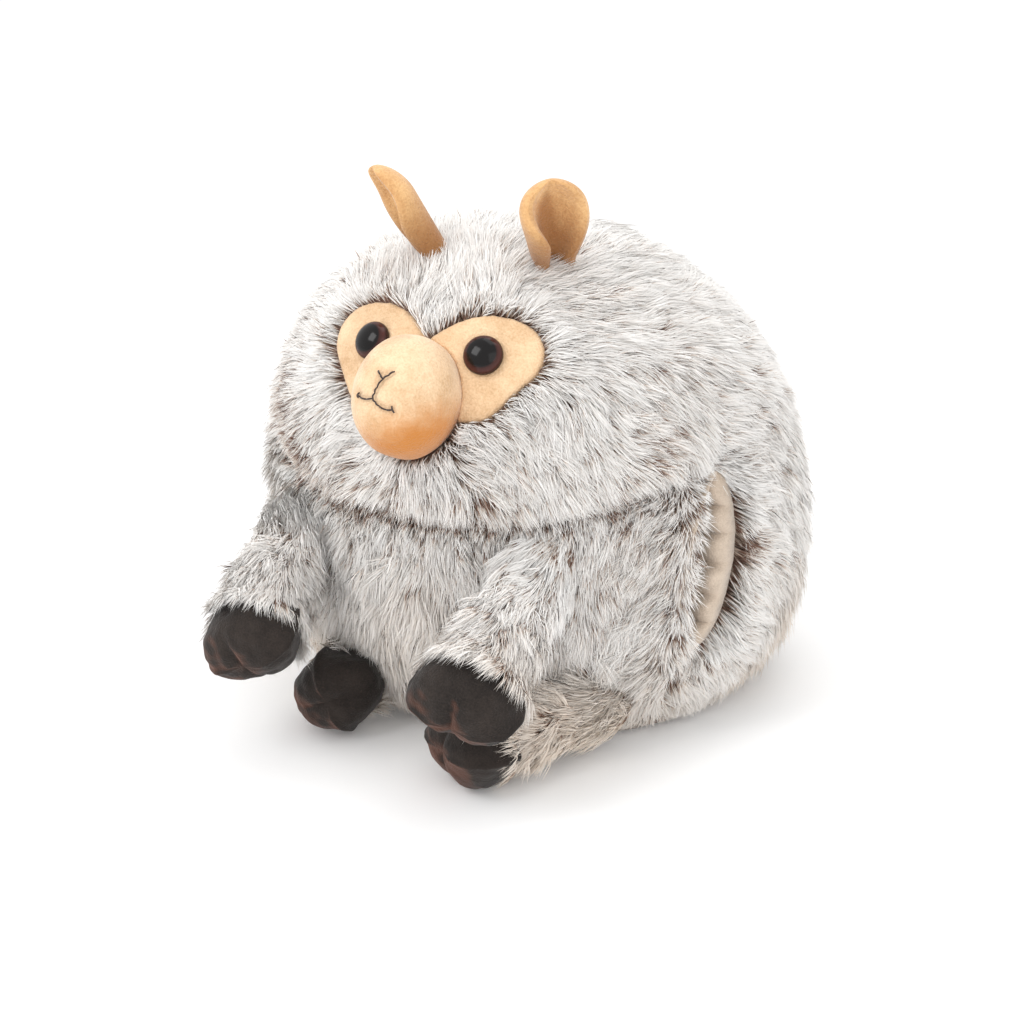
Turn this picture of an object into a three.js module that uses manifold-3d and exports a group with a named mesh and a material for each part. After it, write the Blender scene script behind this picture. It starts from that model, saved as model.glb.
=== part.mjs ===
// Plush hand warmer: a round long-pile llama with a lined hand tunnel through it.
// Millimetres, +Z up. The face looks towards -Y, and the toy's left side is +X.
// The origin is the centre of the flat patch that the stuffed ball sits on.

import * as THREE from "three";
import { mergeVertices } from "three/addons/utils/BufferGeometryUtils.js";
import Module from "manifold-3d";

const wasm = await Module();
wasm.setup();

// Stuffed ball: a full crown that leans forward over a sagging lower half
const ballHalfWidth = 148;
const ballHalfDepth = 138;
const widestHeight = 81;
const crownRise = 168;
const crownFullness = 2.3;
const crownForward = 29;
const seatHalfWidth = 124;
const sagFullness = 1.75;
const pileDepth = 12;
const clearance = 0.3;

// Chin seam: a tilted plane round the ball, pulled in at the front
const chinHeight = 120;
const chinSlope = 0.33;
const chinGrooveDepth = 8;
const chinGrooveWidth = 10;

// Hand tunnel from side to side, with a slot in each flank
const tunnelHeight = 88;
const tunnelCentreHeight = 98;
const tunnelForward = 67;
const tunnelLean = 5;
const slotWidth = 20;
const chamberWidth = 36;
const liningThickness = 2;
const liningInset = 3;

// Face: two cloth patches round the eyes, seen square on from a tilted face plane
const faceBelowCrown = 40;
const faceTilt = 63.5;
const patchInset = 2.5;
const patchBack = 12;
const patchInnerEdge = 1;
const patchOuterEdge = 54;
const patchTop = 15;
const patchBottom = -36;

// Muzzle: a stuffed egg between the patches
const muzzleHalfWidth = 24.5;
const muzzleHalfDepth = 30;
const muzzleHalfHeight = 29;
const muzzleBelowCrown = 65.5;
const muzzleForward = 5;
const muzzleCloth = 2;

// Mouth: three runs of thick thread
const threadRadius = 0.8;
const noseHalfWidth = 5;
const noseDrop = 2.6;
const lipDrop = 7.5;
const mouthHalfWidth = 12;
const mouthSag = 3.2;

// Eyes: domed plastic buttons on a post with a locking washer behind the cloth
const eyeDiameter = 19;
const eyeSpacing = 60;
const eyeBelowCrown = 46;
const eyeDomeHeight = 7;
const eyeRimThickness = 1.2;
const postRadius = 2;
const postTail = 3;
const washerRadius = 7;
const washerThickness = 1.5;

// Ears: two cloth layers each, folded to a cup at the base
const earLength = 44;
const earHalfWidth = 21;
const earBaseHalfWidth = 15;
const earLayer = 1.8;
const earFoldCurl = 160;
const earOuterCurl = 80;
const earTipCurl = 38;
const earFoldShare = 0.8;
const leftEarAcross = 36;
const rightEarAcross = 19;
const earBelowCrown = 7.5;
const earLeanForward = 26;
const leftEarLeanOut = 12;
const rightEarLeanOut = 23;
const earFacing = 40;
const earSwing = [-25, 35];

// Arms: long-pile sleeves that hang in front of the belly, each a little to the toy's right
const leftArmAzimuth = 24;
const leftArmToeIn = 3;
const rightArmAzimuth = 33;
const rightArmToeIn = 13;
const armRootHeight = 99;
const armDroop = 31;
const armReach = 58;
const armRootRadius = 20;
const armSwellRadius = 23;
const armWristRadius = 21;
const armSwing = [0, 75];

// Legs: shorter sleeves tucked under the front of the ball, each lying as it was put down
const leftLegAzimuth = 34;
const leftLegToeIn = 33;
const leftLegReach = 49;
const rightLegAzimuth = 22;
const rightLegToeIn = 12;
const rightLegReach = 6;
const legHeight = 22.6;
const legHingeOut = 24;
const legRootRadius = 19;
const legSwellRadius = 22;
const legWristRadius = 20;
const legSwing = [0, 12];

// Hooves: padded cloth with a cleft toe
const hoofLength = 31;
const hoofHalfWidth = 25.5;
const hoofHalfDepth = 22;
const hoofThroat = 0.84;
const hoofCloth = 2;
const seamStandOut = 0.07;
const cleftDepth = 4;
const cleftWidth = 5;
const cleftPinch = 0.2;
const limbPile = 8;
const neckOverlap = 3;

// Facets
const crownRings = 10;
const lowerRings = 10;
const ballSides = 36;
const limbSides = 12;
const limbRings = 7;
const tunnelSides = 16;
const tunnelRings = 10;
const muzzleSides = 18;
const muzzleRings = 10;
const swingSteps = 2;

const UP = new THREE.Vector3(0, 0, 1);
const FAR = 4 * ballHalfWidth;
const radians = THREE.MathUtils.degToRad;

// Solids from triangles, and back

function solidFrom(geometry) {
  const bare = geometry.index ? geometry.toNonIndexed() : geometry.clone();
  bare.deleteAttribute("normal");
  bare.deleteAttribute("uv");
  const merged = mergeVertices(bare, 1e-4);
  return new wasm.Manifold(
    new wasm.Mesh({
      numProp: 3,
      vertProperties: new Float32Array(merged.attributes.position.array),
      triVerts: new Uint32Array(merged.index.array),
    }),
  );
}

function geometryFrom(solid) {
  const mesh = solid.getMesh();
  const geometry = new THREE.BufferGeometry();
  geometry.setAttribute("position", new THREE.BufferAttribute(mesh.vertProperties, 3));
  geometry.setIndex(new THREE.BufferAttribute(mesh.triVerts, 1));
  const flat = geometry.toNonIndexed();
  flat.computeVertexNormals();
  return flat;
}

function solidFromFaces(points, faces) {
  const geometry = new THREE.BufferGeometry();
  const positions = points.flatMap((point) => [point.x, point.y, point.z]);
  geometry.setAttribute("position", new THREE.Float32BufferAttribute(positions, 3));
  geometry.setIndex(faces);
  return solidFrom(geometry);
}

// A solid through rings of equally many points, closed by a fan to each end point.
// Seen from the end point, the rings run anticlockwise.
function loftSolid(rings, startPoint, endPoint) {
  const sides = rings[0].length;
  const points = [...rings.flat(), startPoint, endPoint];
  const start = points.length - 2;
  const end = points.length - 1;
  const last = (rings.length - 1) * sides;
  const faces = [];
  for (let side = 0; side < sides; side++) {
    const next = (side + 1) % sides;
    faces.push(start, next, side);
    faces.push(end, last + side, last + next);
    for (let ring = 0; ring < rings.length - 1; ring++) {
      const here = ring * sides;
      const there = here + sides;
      faces.push(here + side, here + next, there + next);
      faces.push(here + side, there + next, there + side);
    }
  }
  return solidFromFaces(points, faces);
}

// A thin sheet between two grids of points, closed round its four edges.
function sheetSolid(front, back) {
  const rows = front.length;
  const columns = front[0].length;
  const points = [...front.flat(), ...back.flat()];
  const offset = rows * columns;
  const faces = [];
  const quad = (a, b, c, d) => faces.push(a, b, c, a, c, d);
  for (let row = 0; row < rows - 1; row++) {
    for (let column = 0; column < columns - 1; column++) {
      const a = row * columns + column;
      const b = a + 1;
      const c = b + columns;
      const d = a + columns;
      quad(a, b, c, d);
      quad(offset + c, offset + b, offset + a, offset + d);
    }
  }
  for (let column = 0; column < columns - 1; column++) {
    const low = column;
    const high = (rows - 1) * columns + column;
    quad(low + 1, low, offset + low, offset + low + 1);
    quad(high, high + 1, offset + high + 1, offset + high);
  }
  for (let row = 0; row < rows - 1; row++) {
    const left = row * columns;
    const right = left + columns - 1;
    quad(left, left + columns, offset + left + columns, offset + left);
    quad(right + columns, right, offset + right, offset + right + columns);
  }
  return solidFromFaces(points, faces);
}

// Everything on the side of a plane that its normal points to.
function halfSpace(point, normal) {
  const box = new THREE.BoxGeometry(FAR, FAR, FAR);
  box.translate(0, 0, FAR / 2);
  box.applyQuaternion(new THREE.Quaternion().setFromUnitVectors(UP, normal.clone().normalize()));
  box.translate(point.x, point.y, point.z);
  return solidFrom(box);
}

function placed(solid, matrix) {
  return solid.transform(matrix.elements);
}

function turnAbout(hinge, degrees) {
  const toOrigin = new THREE.Matrix4().makeTranslation(...hinge.point.clone().negate().toArray());
  const turn = new THREE.Matrix4().makeRotationAxis(hinge.axis, radians(degrees));
  const back = new THREE.Matrix4().makeTranslation(...hinge.point.toArray());
  return back.multiply(turn).multiply(toOrigin);
}

// What is left of a swinging piece once nothing of it meets the obstacle at any angle.
function clearedForSwing(piece, obstacle, hinge, range) {
  let left = piece;
  for (let step = 0; step <= swingSteps; step++) {
    const angle = range[0] + ((range[1] - range[0]) * step) / swingSteps;
    left = left.subtract(placed(obstacle, turnAbout(hinge, -angle)));
  }
  return largestBody(left);
}

function largestBody(solid) {
  const bodies = solid.decompose();
  return bodies.reduce((best, body) => (body.volume() > best.volume() ? body : best));
}

// Ball surface

const crownHeight = widestHeight + crownRise;
const lowerRise =
  widestHeight / (1 - (seatHalfWidth / ballHalfWidth) ** sagFullness) ** (1 / sagFullness);

// Width of the ball at one height, as a share of its widest.
function widthShare(height) {
  const [rise, power] =
    height >= widestHeight ? [crownRise, crownFullness] : [lowerRise, sagFullness];
  const share = Math.min(1, Math.abs(height - widestHeight) / rise);
  return (1 - share ** power) ** (1 / power);
}

// The point at one azimuth from the front and one height, for a section of one width share.
function sectionPoint(width, azimuth, height) {
  const forward = crownForward * Math.max(0, (height - widestHeight) / crownRise);
  return new THREE.Vector3(
    ballHalfWidth * width * Math.sin(azimuth),
    -ballHalfDepth * width * Math.cos(azimuth) - forward,
    height,
  );
}

function ballPoint(azimuth, height) {
  return sectionPoint(widthShare(height), radians(azimuth), height);
}

function ballNormal(azimuth, height) {
  const step = 0.5;
  const around = ballPoint(azimuth + step, height).sub(ballPoint(azimuth - step, height));
  const up = ballPoint(azimuth, height + step).sub(ballPoint(azimuth, height - step));
  return around.cross(up).normalize();
}

// Azimuth of the point that lies one distance to the side at one height.
function azimuthOf(across, height) {
  return THREE.MathUtils.radToDeg(Math.asin(across / (ballHalfWidth * widthShare(height))));
}

// Half outline of the ball, from the crown (0) to the pole under the seat (1).
function meridianPoint(share, azimuth) {
  const turn = Math.PI * share;
  const upper = share <= 0.5;
  const power = 2 / (upper ? crownFullness : sagFullness);
  const across = Math.max(0, Math.sin(turn)) ** power;
  const rise = Math.abs(Math.cos(turn)) ** power;
  const height = widestHeight + (upper ? crownRise : -lowerRise) * rise;
  return sectionPoint(across, azimuth, height);
}

// The same point moved inwards, square to the surface.
function insetPoint(share, azimuth, inset) {
  const step = 1e-3;
  const down = meridianPoint(share + step, azimuth).sub(meridianPoint(share - step, azimuth));
  const around = meridianPoint(share, azimuth + step).sub(meridianPoint(share, azimuth - step));
  const inward = around.cross(down).normalize();
  return meridianPoint(share, azimuth).addScaledVector(inward, inset);
}

const chinFront = ballPoint(0, chinHeight);
const chinNormal = new THREE.Vector3(0, -chinSlope, 1).normalize();

function aboveChin(point) {
  return point.clone().sub(chinFront).dot(chinNormal);
}

// Where the chin seam crosses one meridian.
function chinShare(azimuth) {
  let low = 0.05;
  let high = 0.95;
  for (let pass = 0; pass < 24; pass++) {
    const middle = (low + high) / 2;
    if (aboveChin(meridianPoint(middle, azimuth)) > 0) low = middle;
    else high = middle;
  }
  return (low + high) / 2;
}

// The seam pulls the cloth in, deepest at the front and fading out past the flanks.
function chinDip(point) {
  const frontness = THREE.MathUtils.smoothstep(-point.y, -ballHalfDepth / 4, ballHalfDepth / 2);
  return chinGrooveDepth * frontness * Math.exp(-((aboveChin(point) / chinGrooveWidth) ** 2));
}

// The ball, drawn in everywhere by one distance. Its rings crowd towards the chin seam.
function ballSolid(inset) {
  const crowding = 1.6;
  const rings = [];
  for (let ring = 1; ring < crownRings + lowerRings; ring++) {
    const points = [];
    for (let side = 0; side < ballSides; side++) {
      const azimuth = (2 * Math.PI * side) / ballSides;
      const seam = chinShare(azimuth);
      const fromSeam = (ring - crownRings) / (ring < crownRings ? crownRings : lowerRings);
      const reach = ring < crownRings ? seam : 1 - seam;
      const share = seam + Math.sign(fromSeam) * reach * Math.abs(fromSeam) ** crowding;
      const dip = chinDip(meridianPoint(share, azimuth));
      points.push(insetPoint(share, azimuth, inset + dip));
    }
    rings.push(points.reverse());
  }
  const crown = new THREE.Vector3(0, -crownForward, crownHeight - inset);
  const pole = new THREE.Vector3(0, 0, widestHeight - lowerRise + inset);
  const whole = loftSolid(rings, crown, pole);
  return whole.intersect(halfSpace(new THREE.Vector3(0, 0, inset), UP));
}

// Hand tunnel

// Its section is a lens with its points at the top and bottom.
function tunnelSolid(grow) {
  const lensPower = 1.2;
  const width = widthShare(tunnelCentreHeight);
  const forward = tunnelForward + sectionPoint(0, 0, tunnelCentreHeight).y;
  const mouth = ballHalfWidth * Math.sqrt(width ** 2 - (forward / ballHalfDepth) ** 2);
  const end = ballHalfWidth * 1.1;
  const halfHeight = tunnelHeight / 2 + grow;
  const rings = [];
  for (let ring = 0; ring <= tunnelRings; ring++) {
    const across = end * (1 - (2 * ring) / tunnelRings);
    const inward = Math.max(0, 1 - (across / mouth) ** 2);
    const halfWidth = (slotWidth + (chamberWidth - slotWidth) * inward) / 2 + grow;
    const points = [];
    for (let side = 0; side < tunnelSides; side++) {
      const turn = (2 * Math.PI * side) / tunnelSides;
      const y = halfWidth * Math.sign(Math.cos(turn)) * Math.abs(Math.cos(turn)) ** lensPower;
      const z = halfHeight * Math.sin(turn);
      points.push(new THREE.Vector3(across, y, z));
    }
    rings.push(points.reverse());
  }
  const solid = loftSolid(rings, new THREE.Vector3(end, 0, 0), new THREE.Vector3(-end, 0, 0));
  const lean = new THREE.Matrix4().makeRotationX(radians(-tunnelLean));
  lean.setPosition(0, -tunnelForward, tunnelCentreHeight);
  return placed(solid, lean);
}

const tunnelHole = tunnelSolid(liningThickness + clearance);

// The lining, sewn from a front and a back half that meet in the side seams.
function tunnelLining() {
  const tube = tunnelSolid(liningThickness).subtract(tunnelSolid(0));
  const whole = tube.intersect(ballSolid(liningInset));
  return {
    front: whole.intersect(aheadOfSide(clearance / 2)),
    back: whole.intersect(behindSide(clearance / 2)),
  };
}

// The side seams run through both slots, in a plane that leans as the tunnel does.
const sideMiddle = new THREE.Vector3(0, -tunnelForward, tunnelCentreHeight);
const sideNormal = new THREE.Vector3(0, Math.cos(radians(tunnelLean)), -Math.sin(radians(tunnelLean)));

function behindSide(gap) {
  return halfSpace(sideMiddle.clone().addScaledVector(sideNormal, gap), sideNormal);
}

function aheadOfSide(gap) {
  const forward = sideNormal.clone().negate();
  return halfSpace(sideMiddle.clone().addScaledVector(forward, gap), forward);
}

// Face plane

const facePoint = ballPoint(0, crownHeight - faceBelowCrown);
const faceNormal = new THREE.Vector3(0, -Math.sin(radians(faceTilt)), Math.cos(radians(faceTilt)));
const faceUp = new THREE.Vector3(0, Math.cos(radians(faceTilt)), Math.sin(radians(faceTilt)));

// Outline of one eye patch: the nose bridge, the brow, the temple, the cheek, and under the muzzle.
function patchOutline(side, grow) {
  const width = patchOuterEdge - patchInnerEdge;
  const height = patchTop - patchBottom;
  const corners = [
    [patchInnerEdge, patchTop - 0.31 * height],
    [patchInnerEdge + 0.22 * width, patchTop - 0.12 * height],
    [patchInnerEdge + 0.5 * width, patchTop - 0.01 * height],
    [patchInnerEdge + 0.82 * width, patchTop - 0.05 * height],
    [patchOuterEdge, patchTop - 0.23 * height],
    [patchOuterEdge, patchTop - 0.47 * height],
    [patchInnerEdge + 0.82 * width, patchTop - 0.75 * height],
    [patchInnerEdge + 0.6 * width, patchBottom],
    [patchInnerEdge + 0.15 * width, patchBottom],
    [patchInnerEdge, patchTop - 0.58 * height],
  ];
  const curve = new THREE.SplineCurve(
    [...corners, corners[0]].map((corner) => new THREE.Vector2(...corner)),
  );
  const samples = 32;
  const outline = [];
  for (let sample = 0; sample < samples; sample++) {
    const share = sample / samples;
    const along = curve.getTangent(share);
    const point = curve.getPoint(share);
    outline.push(new THREE.Vector2(side * (point.x - grow * along.y), point.y + grow * along.x));
  }
  return new THREE.Shape(outline);
}

// A prism through the fur shell, square to the face plane.
function patchPrism(side, grow) {
  const depth = 80;
  const prism = new THREE.ExtrudeGeometry(patchOutline(side, grow), {
    depth,
    bevelEnabled: false,
  });
  const frame = new THREE.Matrix4().makeBasis(new THREE.Vector3(1, 0, 0), faceUp, faceNormal);
  frame.setPosition(facePoint.clone().addScaledVector(faceNormal, -depth * 0.6));
  prism.applyMatrix4(frame);
  return solidFrom(prism);
}

// Muzzle

function muzzleCentre() {
  return ballPoint(0, crownHeight - muzzleBelowCrown).sub(new THREE.Vector3(0, muzzleForward, 0));
}

function muzzleSolid(grow) {
  const egg = new THREE.SphereGeometry(1, muzzleSides, muzzleRings);
  egg.scale(muzzleHalfWidth + grow, muzzleHalfHeight + grow, muzzleHalfDepth + grow);
  const centre = muzzleCentre();
  const frame = new THREE.Matrix4().makeRotationX(Math.PI / 2);
  frame.setPosition(centre);
  egg.applyMatrix4(frame);
  return solidFrom(egg);
}

// The soft muzzle gives way to the rims of the hard eyes.
function muzzleCover(ballBack) {
  const pressed = muzzleSolid(0).subtract(eyeSolid(1, clearance)).subtract(eyeSolid(-1, clearance));
  return largestBody(pressed.subtract(muzzleSolid(-muzzleCloth)).subtract(ballBack));
}

function muzzleStuffing(ballBack) {
  return largestBody(muzzleSolid(-muzzleCloth - clearance).subtract(ballBack));
}

// A point just proud of the front of the muzzle, given across and above its centre.
function muzzleFront(x, z) {
  const reach = Math.sqrt(1 - (x / muzzleHalfWidth) ** 2 - (z / muzzleHalfHeight) ** 2);
  const centre = muzzleCentre();
  const lift = threadRadius * 0.6;
  return new THREE.Vector3(x, centre.y - (muzzleHalfDepth + lift) * reach, centre.z + z);
}

function threadAlong(points) {
  const round = new THREE.Shape();
  round.absarc(0, 0, threadRadius, 0, 2 * Math.PI);
  const path = new THREE.CatmullRomCurve3(points);
  const run = new THREE.ExtrudeGeometry(round, {
    steps: 3 * (points.length - 1),
    curveSegments: 3,
    bevelEnabled: false,
    extrudePath: path,
  });
  return solidFrom(run);
}

// A small V for the nose, a run down from it, and a curved mouth.
function mouthStitch() {
  const noseHeight = muzzleHalfHeight * 0.47;
  const lipHeight = noseHeight - lipDrop;
  const nose = [-1, 1].map((side) =>
    threadAlong([
      muzzleFront(0, noseHeight),
      muzzleFront(side * noseHalfWidth, noseHeight + noseDrop),
    ]),
  );
  const fall = threadAlong([
    muzzleFront(0, noseHeight + threadRadius),
    muzzleFront(0, lipHeight - threadRadius),
  ]);
  const mouth = [-1, 1].map((side) =>
    threadAlong([
      muzzleFront(0, lipHeight),
      muzzleFront(side * mouthHalfWidth * 0.6, lipHeight - mouthSag),
      muzzleFront(side * mouthHalfWidth, lipHeight - mouthSag * 0.5),
    ]),
  );
  const joined = [...nose, ...mouth].reduce((whole, run) => whole.add(run), fall);
  return largestBody(joined.subtract(muzzleSolid(clearance)));
}

// Eyes

function eyeFrame(side) {
  const height = crownHeight - eyeBelowCrown;
  const azimuth = side * azimuthOf(eyeSpacing / 2, height);
  const point = ballPoint(azimuth, height);
  const normal = ballNormal(azimuth, height);
  point.addScaledVector(normal, -patchInset + clearance);
  const turn = new THREE.Quaternion().setFromUnitVectors(UP, normal);
  return new THREE.Matrix4().compose(point, turn, new THREE.Vector3(1, 1, 1));
}

const postLength = patchBack - patchInset + washerThickness + postTail;

// Dome, rim and post as one turned piece, its rim resting on the patch.
function eyeSolid(side, grow) {
  const radius = eyeDiameter / 2 + grow;
  const profile = [
    new THREE.Vector2(0, -postLength - grow),
    new THREE.Vector2(postRadius + grow, -postLength - grow),
    new THREE.Vector2(postRadius + grow, -grow),
    new THREE.Vector2(radius, -grow),
    new THREE.Vector2(radius, eyeRimThickness + grow),
  ];
  const arcSteps = 6;
  for (let step = 1; step < arcSteps; step++) {
    const turn = (Math.PI / 2) * (step / arcSteps);
    const rise = eyeRimThickness + grow + (eyeDomeHeight - eyeRimThickness) * Math.sin(turn);
    profile.push(new THREE.Vector2(radius * Math.cos(turn), rise));
  }
  profile.push(new THREE.Vector2(0, eyeDomeHeight + grow));
  const turned = new THREE.LatheGeometry(profile, 20);
  turned.rotateX(Math.PI / 2);
  return placed(solidFrom(turned), eyeFrame(side));
}

// Locking washer, pushed up the post until it meets the back of the patch.
function washerSolid(side, grow) {
  const front = -(patchBack - patchInset) - 2 * clearance;
  const back = front - washerThickness;
  const inner = postRadius + clearance;
  const profile = [
    new THREE.Vector2(inner, back - grow),
    new THREE.Vector2(washerRadius + grow, back - grow),
    new THREE.Vector2(washerRadius + grow, front + grow),
    new THREE.Vector2(inner, front + grow),
    new THREE.Vector2(inner, back - grow),
  ];
  const turned = new THREE.LatheGeometry(profile, 16);
  turned.rotateX(Math.PI / 2);
  return placed(solidFrom(turned), eyeFrame(side));
}

// Ears

function earHinge(side) {
  const height = crownHeight - earBelowCrown;
  const [distance, leanOut] =
    side > 0 ? [leftEarAcross, leftEarLeanOut] : [rightEarAcross, rightEarLeanOut];
  const azimuth = side * azimuthOf(distance, height);
  const point = ballPoint(azimuth, height);
  const out = ballNormal(azimuth, height);
  const lean = new THREE.Vector3(
    side * Math.sin(radians(leanOut)),
    -Math.sin(radians(earLeanForward)),
    1,
  ).normalize();
  const across = new THREE.Vector3(
    Math.cos(radians(earFacing)),
    side * Math.sin(radians(earFacing)),
    0,
  );
  across.addScaledVector(lean, -across.dot(lean)).normalize();
  point.addScaledVector(out, clearance);
  return { point, axis: across, lean };
}

// Half width of the leaf, by its share of the length.
function earHalfWidthAt(share) {
  const widest = 0.5;
  if (share < widest) {
    const blend = Math.sin((Math.PI / 2) * (share / widest));
    return earBaseHalfWidth + (earHalfWidth - earBaseHalfWidth) * blend;
  }
  return earHalfWidth * Math.sqrt(1 - ((share - widest) / (1 - widest)) ** 2);
}

// Curl of one half of the leaf: the half nearer the crown folds right over at its base.
function earHalfCurl(towardsCrown, share) {
  const base = towardsCrown ? earFoldCurl : earOuterCurl;
  const blend = THREE.MathUtils.smoothstep(share, 0, earFoldShare);
  return radians(THREE.MathUtils.lerp(base, earTipCurl, blend));
}

// One cloth layer, between two distances in front of the ear's middle surface.
function earLayerSolid(side, near, far) {
  const { point, axis, lean } = earHinge(side);
  const front = new THREE.Vector3().crossVectors(axis, lean);
  const rows = 8;
  const columns = 9;
  const tip = 0.985;
  const root = -0.2;
  const sheet = (distance) => {
    const grid = [];
    for (let row = 0; row < rows; row++) {
      const share = root + (tip - root) * (row / (rows - 1)) ** 0.8;
      const halfWidth = earHalfWidthAt(Math.max(0, share));
      const line = [];
      for (let column = 0; column < columns; column++) {
        const across = (2 * column) / (columns - 1) - 1;
        const curl = earHalfCurl(across * side < 0, share);
        const radius = halfWidth / curl;
        const turn = curl * across;
        const reach = radius - distance;
        const spot = point.clone().addScaledVector(lean, share * earLength);
        spot.addScaledVector(axis, reach * Math.sin(turn));
        spot.addScaledVector(front, radius - reach * Math.cos(turn));
        line.push(spot);
      }
      grid.push(line);
    }
    return grid;
  };
  return sheetSolid(sheet(far), sheet(near));
}

// Limbs

// A limb runs from its root on the ball, and its hoof lies across a width axis.
function limbFrame(root, direction, width) {
  const across = width.clone().addScaledVector(direction, -width.dot(direction)).normalize();
  const front = new THREE.Vector3().crossVectors(direction, across);
  const frame = new THREE.Matrix4().makeBasis(across, front, direction);
  return frame.setPosition(root);
}

function ringAt(distance, halfWidth, halfDepth) {
  const points = [];
  for (let side = 0; side < limbSides; side++) {
    const turn = (2 * Math.PI * side) / limbSides;
    points.push(
      new THREE.Vector3(halfWidth * Math.cos(turn), halfDepth * Math.sin(turn), distance),
    );
  }
  return points;
}

// Sleeve radius: it swells from the root and draws in again at the wrist.
function sleeveRadius(limb, share) {
  const swell = Math.sin(Math.PI * Math.min(1, Math.max(0, share)) ** 1.2);
  const straight = THREE.MathUtils.lerp(limb.rootRadius, limb.wristRadius, share);
  const fullest = (limb.rootRadius + limb.wristRadius) / 2;
  return straight + (limb.swellRadius - fullest) * swell;
}

// The sleeve starts as a round shoulder inside the ball and ends flat at the wrist.
function sleeveSolid(limb, thin, endExtra) {
  const start = thin - limb.rootRadius;
  const rings = [];
  for (let ring = 1; ring <= limbRings; ring++) {
    const distance = THREE.MathUtils.lerp(start, limb.reach, (ring / limbRings) ** 1.3);
    const inDome = Math.min(1, (distance - start) / (limb.rootRadius - thin));
    const round = Math.sqrt(1 - (1 - inDome) ** 2);
    const radius = (sleeveRadius(limb, distance / limb.reach) - thin) * round;
    rings.push(ringAt(distance, radius, radius));
  }
  if (endExtra > 0) {
    const wrist = limb.wristRadius - thin;
    rings.push(ringAt(limb.reach + endExtra, wrist, wrist));
  }
  const from = new THREE.Vector3(0, 0, start);
  const to = new THREE.Vector3(0, 0, limb.reach + endExtra);
  return placed(loftSolid(rings, from, to), limb.frame);
}

// The hoof pouch: boxy across, with a seam that stands out at both sides and a cleft in the toe.
function hoofSolid(limb, thin, startExtra) {
  const tip = hoofLength - thin;
  const fullest = 0.45;
  const rings = [];
  const stations = limbRings + 2;
  for (let ring = 0; ring < stations; ring++) {
    const share = (ring / (stations - 1)) * 0.985;
    const late = Math.max(0, (share - fullest) / (1 - fullest));
    const early = Math.min(1, share / fullest);
    const swell = hoofThroat + (1 - hoofThroat) * Math.sin((Math.PI / 2) * early);
    const width = (hoofHalfWidth * swell - thin) * (1 - late ** 2.8) ** (1 / 2.8);
    const depth = (hoofHalfDepth * swell - thin) * (1 - late ** 2.2) ** (1 / 2.2);
    const distance = limb.reach + (ring === 0 ? -startExtra : tip * share);
    const points = ringAt(distance, width, depth);
    for (const point of points) {
      const middle = Math.exp(-((point.x / cleftWidth) ** 2));
      const corner = (Math.abs(point.x) / width) ** 12;
      point.x *= 1 + seamStandOut * corner * (1 - late);
      point.z -= cleftDepth * middle * share ** 2;
      point.y *= 1 - cleftPinch * middle * share;
    }
    rings.push(points);
  }
  const from = new THREE.Vector3(0, 0, limb.reach - startExtra);
  const to = new THREE.Vector3(0, 0, limb.reach + tip - cleftDepth);
  return placed(loftSolid(rings, from, to), limb.frame);
}

// Where the stuffing passes from the sleeve into the hoof.
function neckSolid(limb) {
  const sleeveBore = limb.wristRadius - limbPile;
  const hoofBore = hoofHalfDepth * hoofThroat - hoofCloth;
  const radius = Math.min(sleeveBore, hoofBore) - clearance;
  const start = limb.reach - neckOverlap;
  const end = limb.reach + neckOverlap;
  const rings = [ringAt(start, radius, radius), ringAt(end, radius, radius)];
  const neck = loftSolid(rings, new THREE.Vector3(0, 0, start), new THREE.Vector3(0, 0, end));
  return placed(neck, limb.frame);
}

// Sleeve, hoof and stuffing of one limb, kept clear of the ball through its whole swing.
function limbPieces(limb, ball) {
  const cleared = (solid) => clearedForSwing(solid, ball, limb.hinge, limb.swing);
  const sleeve = sleeveSolid(limb, 0, 0).subtract(sleeveSolid(limb, limbPile, 1));
  const hoof = hoofSolid(limb, 0, -clearance).subtract(hoofSolid(limb, hoofCloth, 1));
  const core = sleeveSolid(limb, limbPile + clearance, 0).add(neckSolid(limb));
  const toe = hoofSolid(limb, hoofCloth + clearance, -2 * clearance);
  return {
    sleeve: cleared(sleeve),
    hoof: cleared(hoof),
    stuffing: cleared(core.add(toe)),
  };
}

// The arm hangs from the upper edge of its root, where it lifts away from the belly.
function armLimb(side, azimuth, toeIn) {
  const root = ballPoint(side * azimuth, armRootHeight);
  const heading = radians(side * -toeIn);
  const level = Math.cos(radians(armDroop));
  const direction = new THREE.Vector3(
    level * Math.sin(heading),
    -level * Math.cos(heading),
    -Math.sin(radians(armDroop)),
  );
  const topHeight = armRootHeight + armRootRadius;
  const top = ballPoint(side * azimuth, topHeight);
  const out = ballNormal(side * azimuth, topHeight);
  const tangent = new THREE.Vector3().crossVectors(UP, out).negate().normalize();
  top.addScaledVector(out, clearance);
  return {
    reach: armReach,
    rootRadius: armRootRadius,
    swellRadius: armSwellRadius,
    wristRadius: armWristRadius,
    frame: limbFrame(root, direction, tangent),
    hinge: { point: top, axis: tangent },
    swing: armSwing,
  };
}

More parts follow.
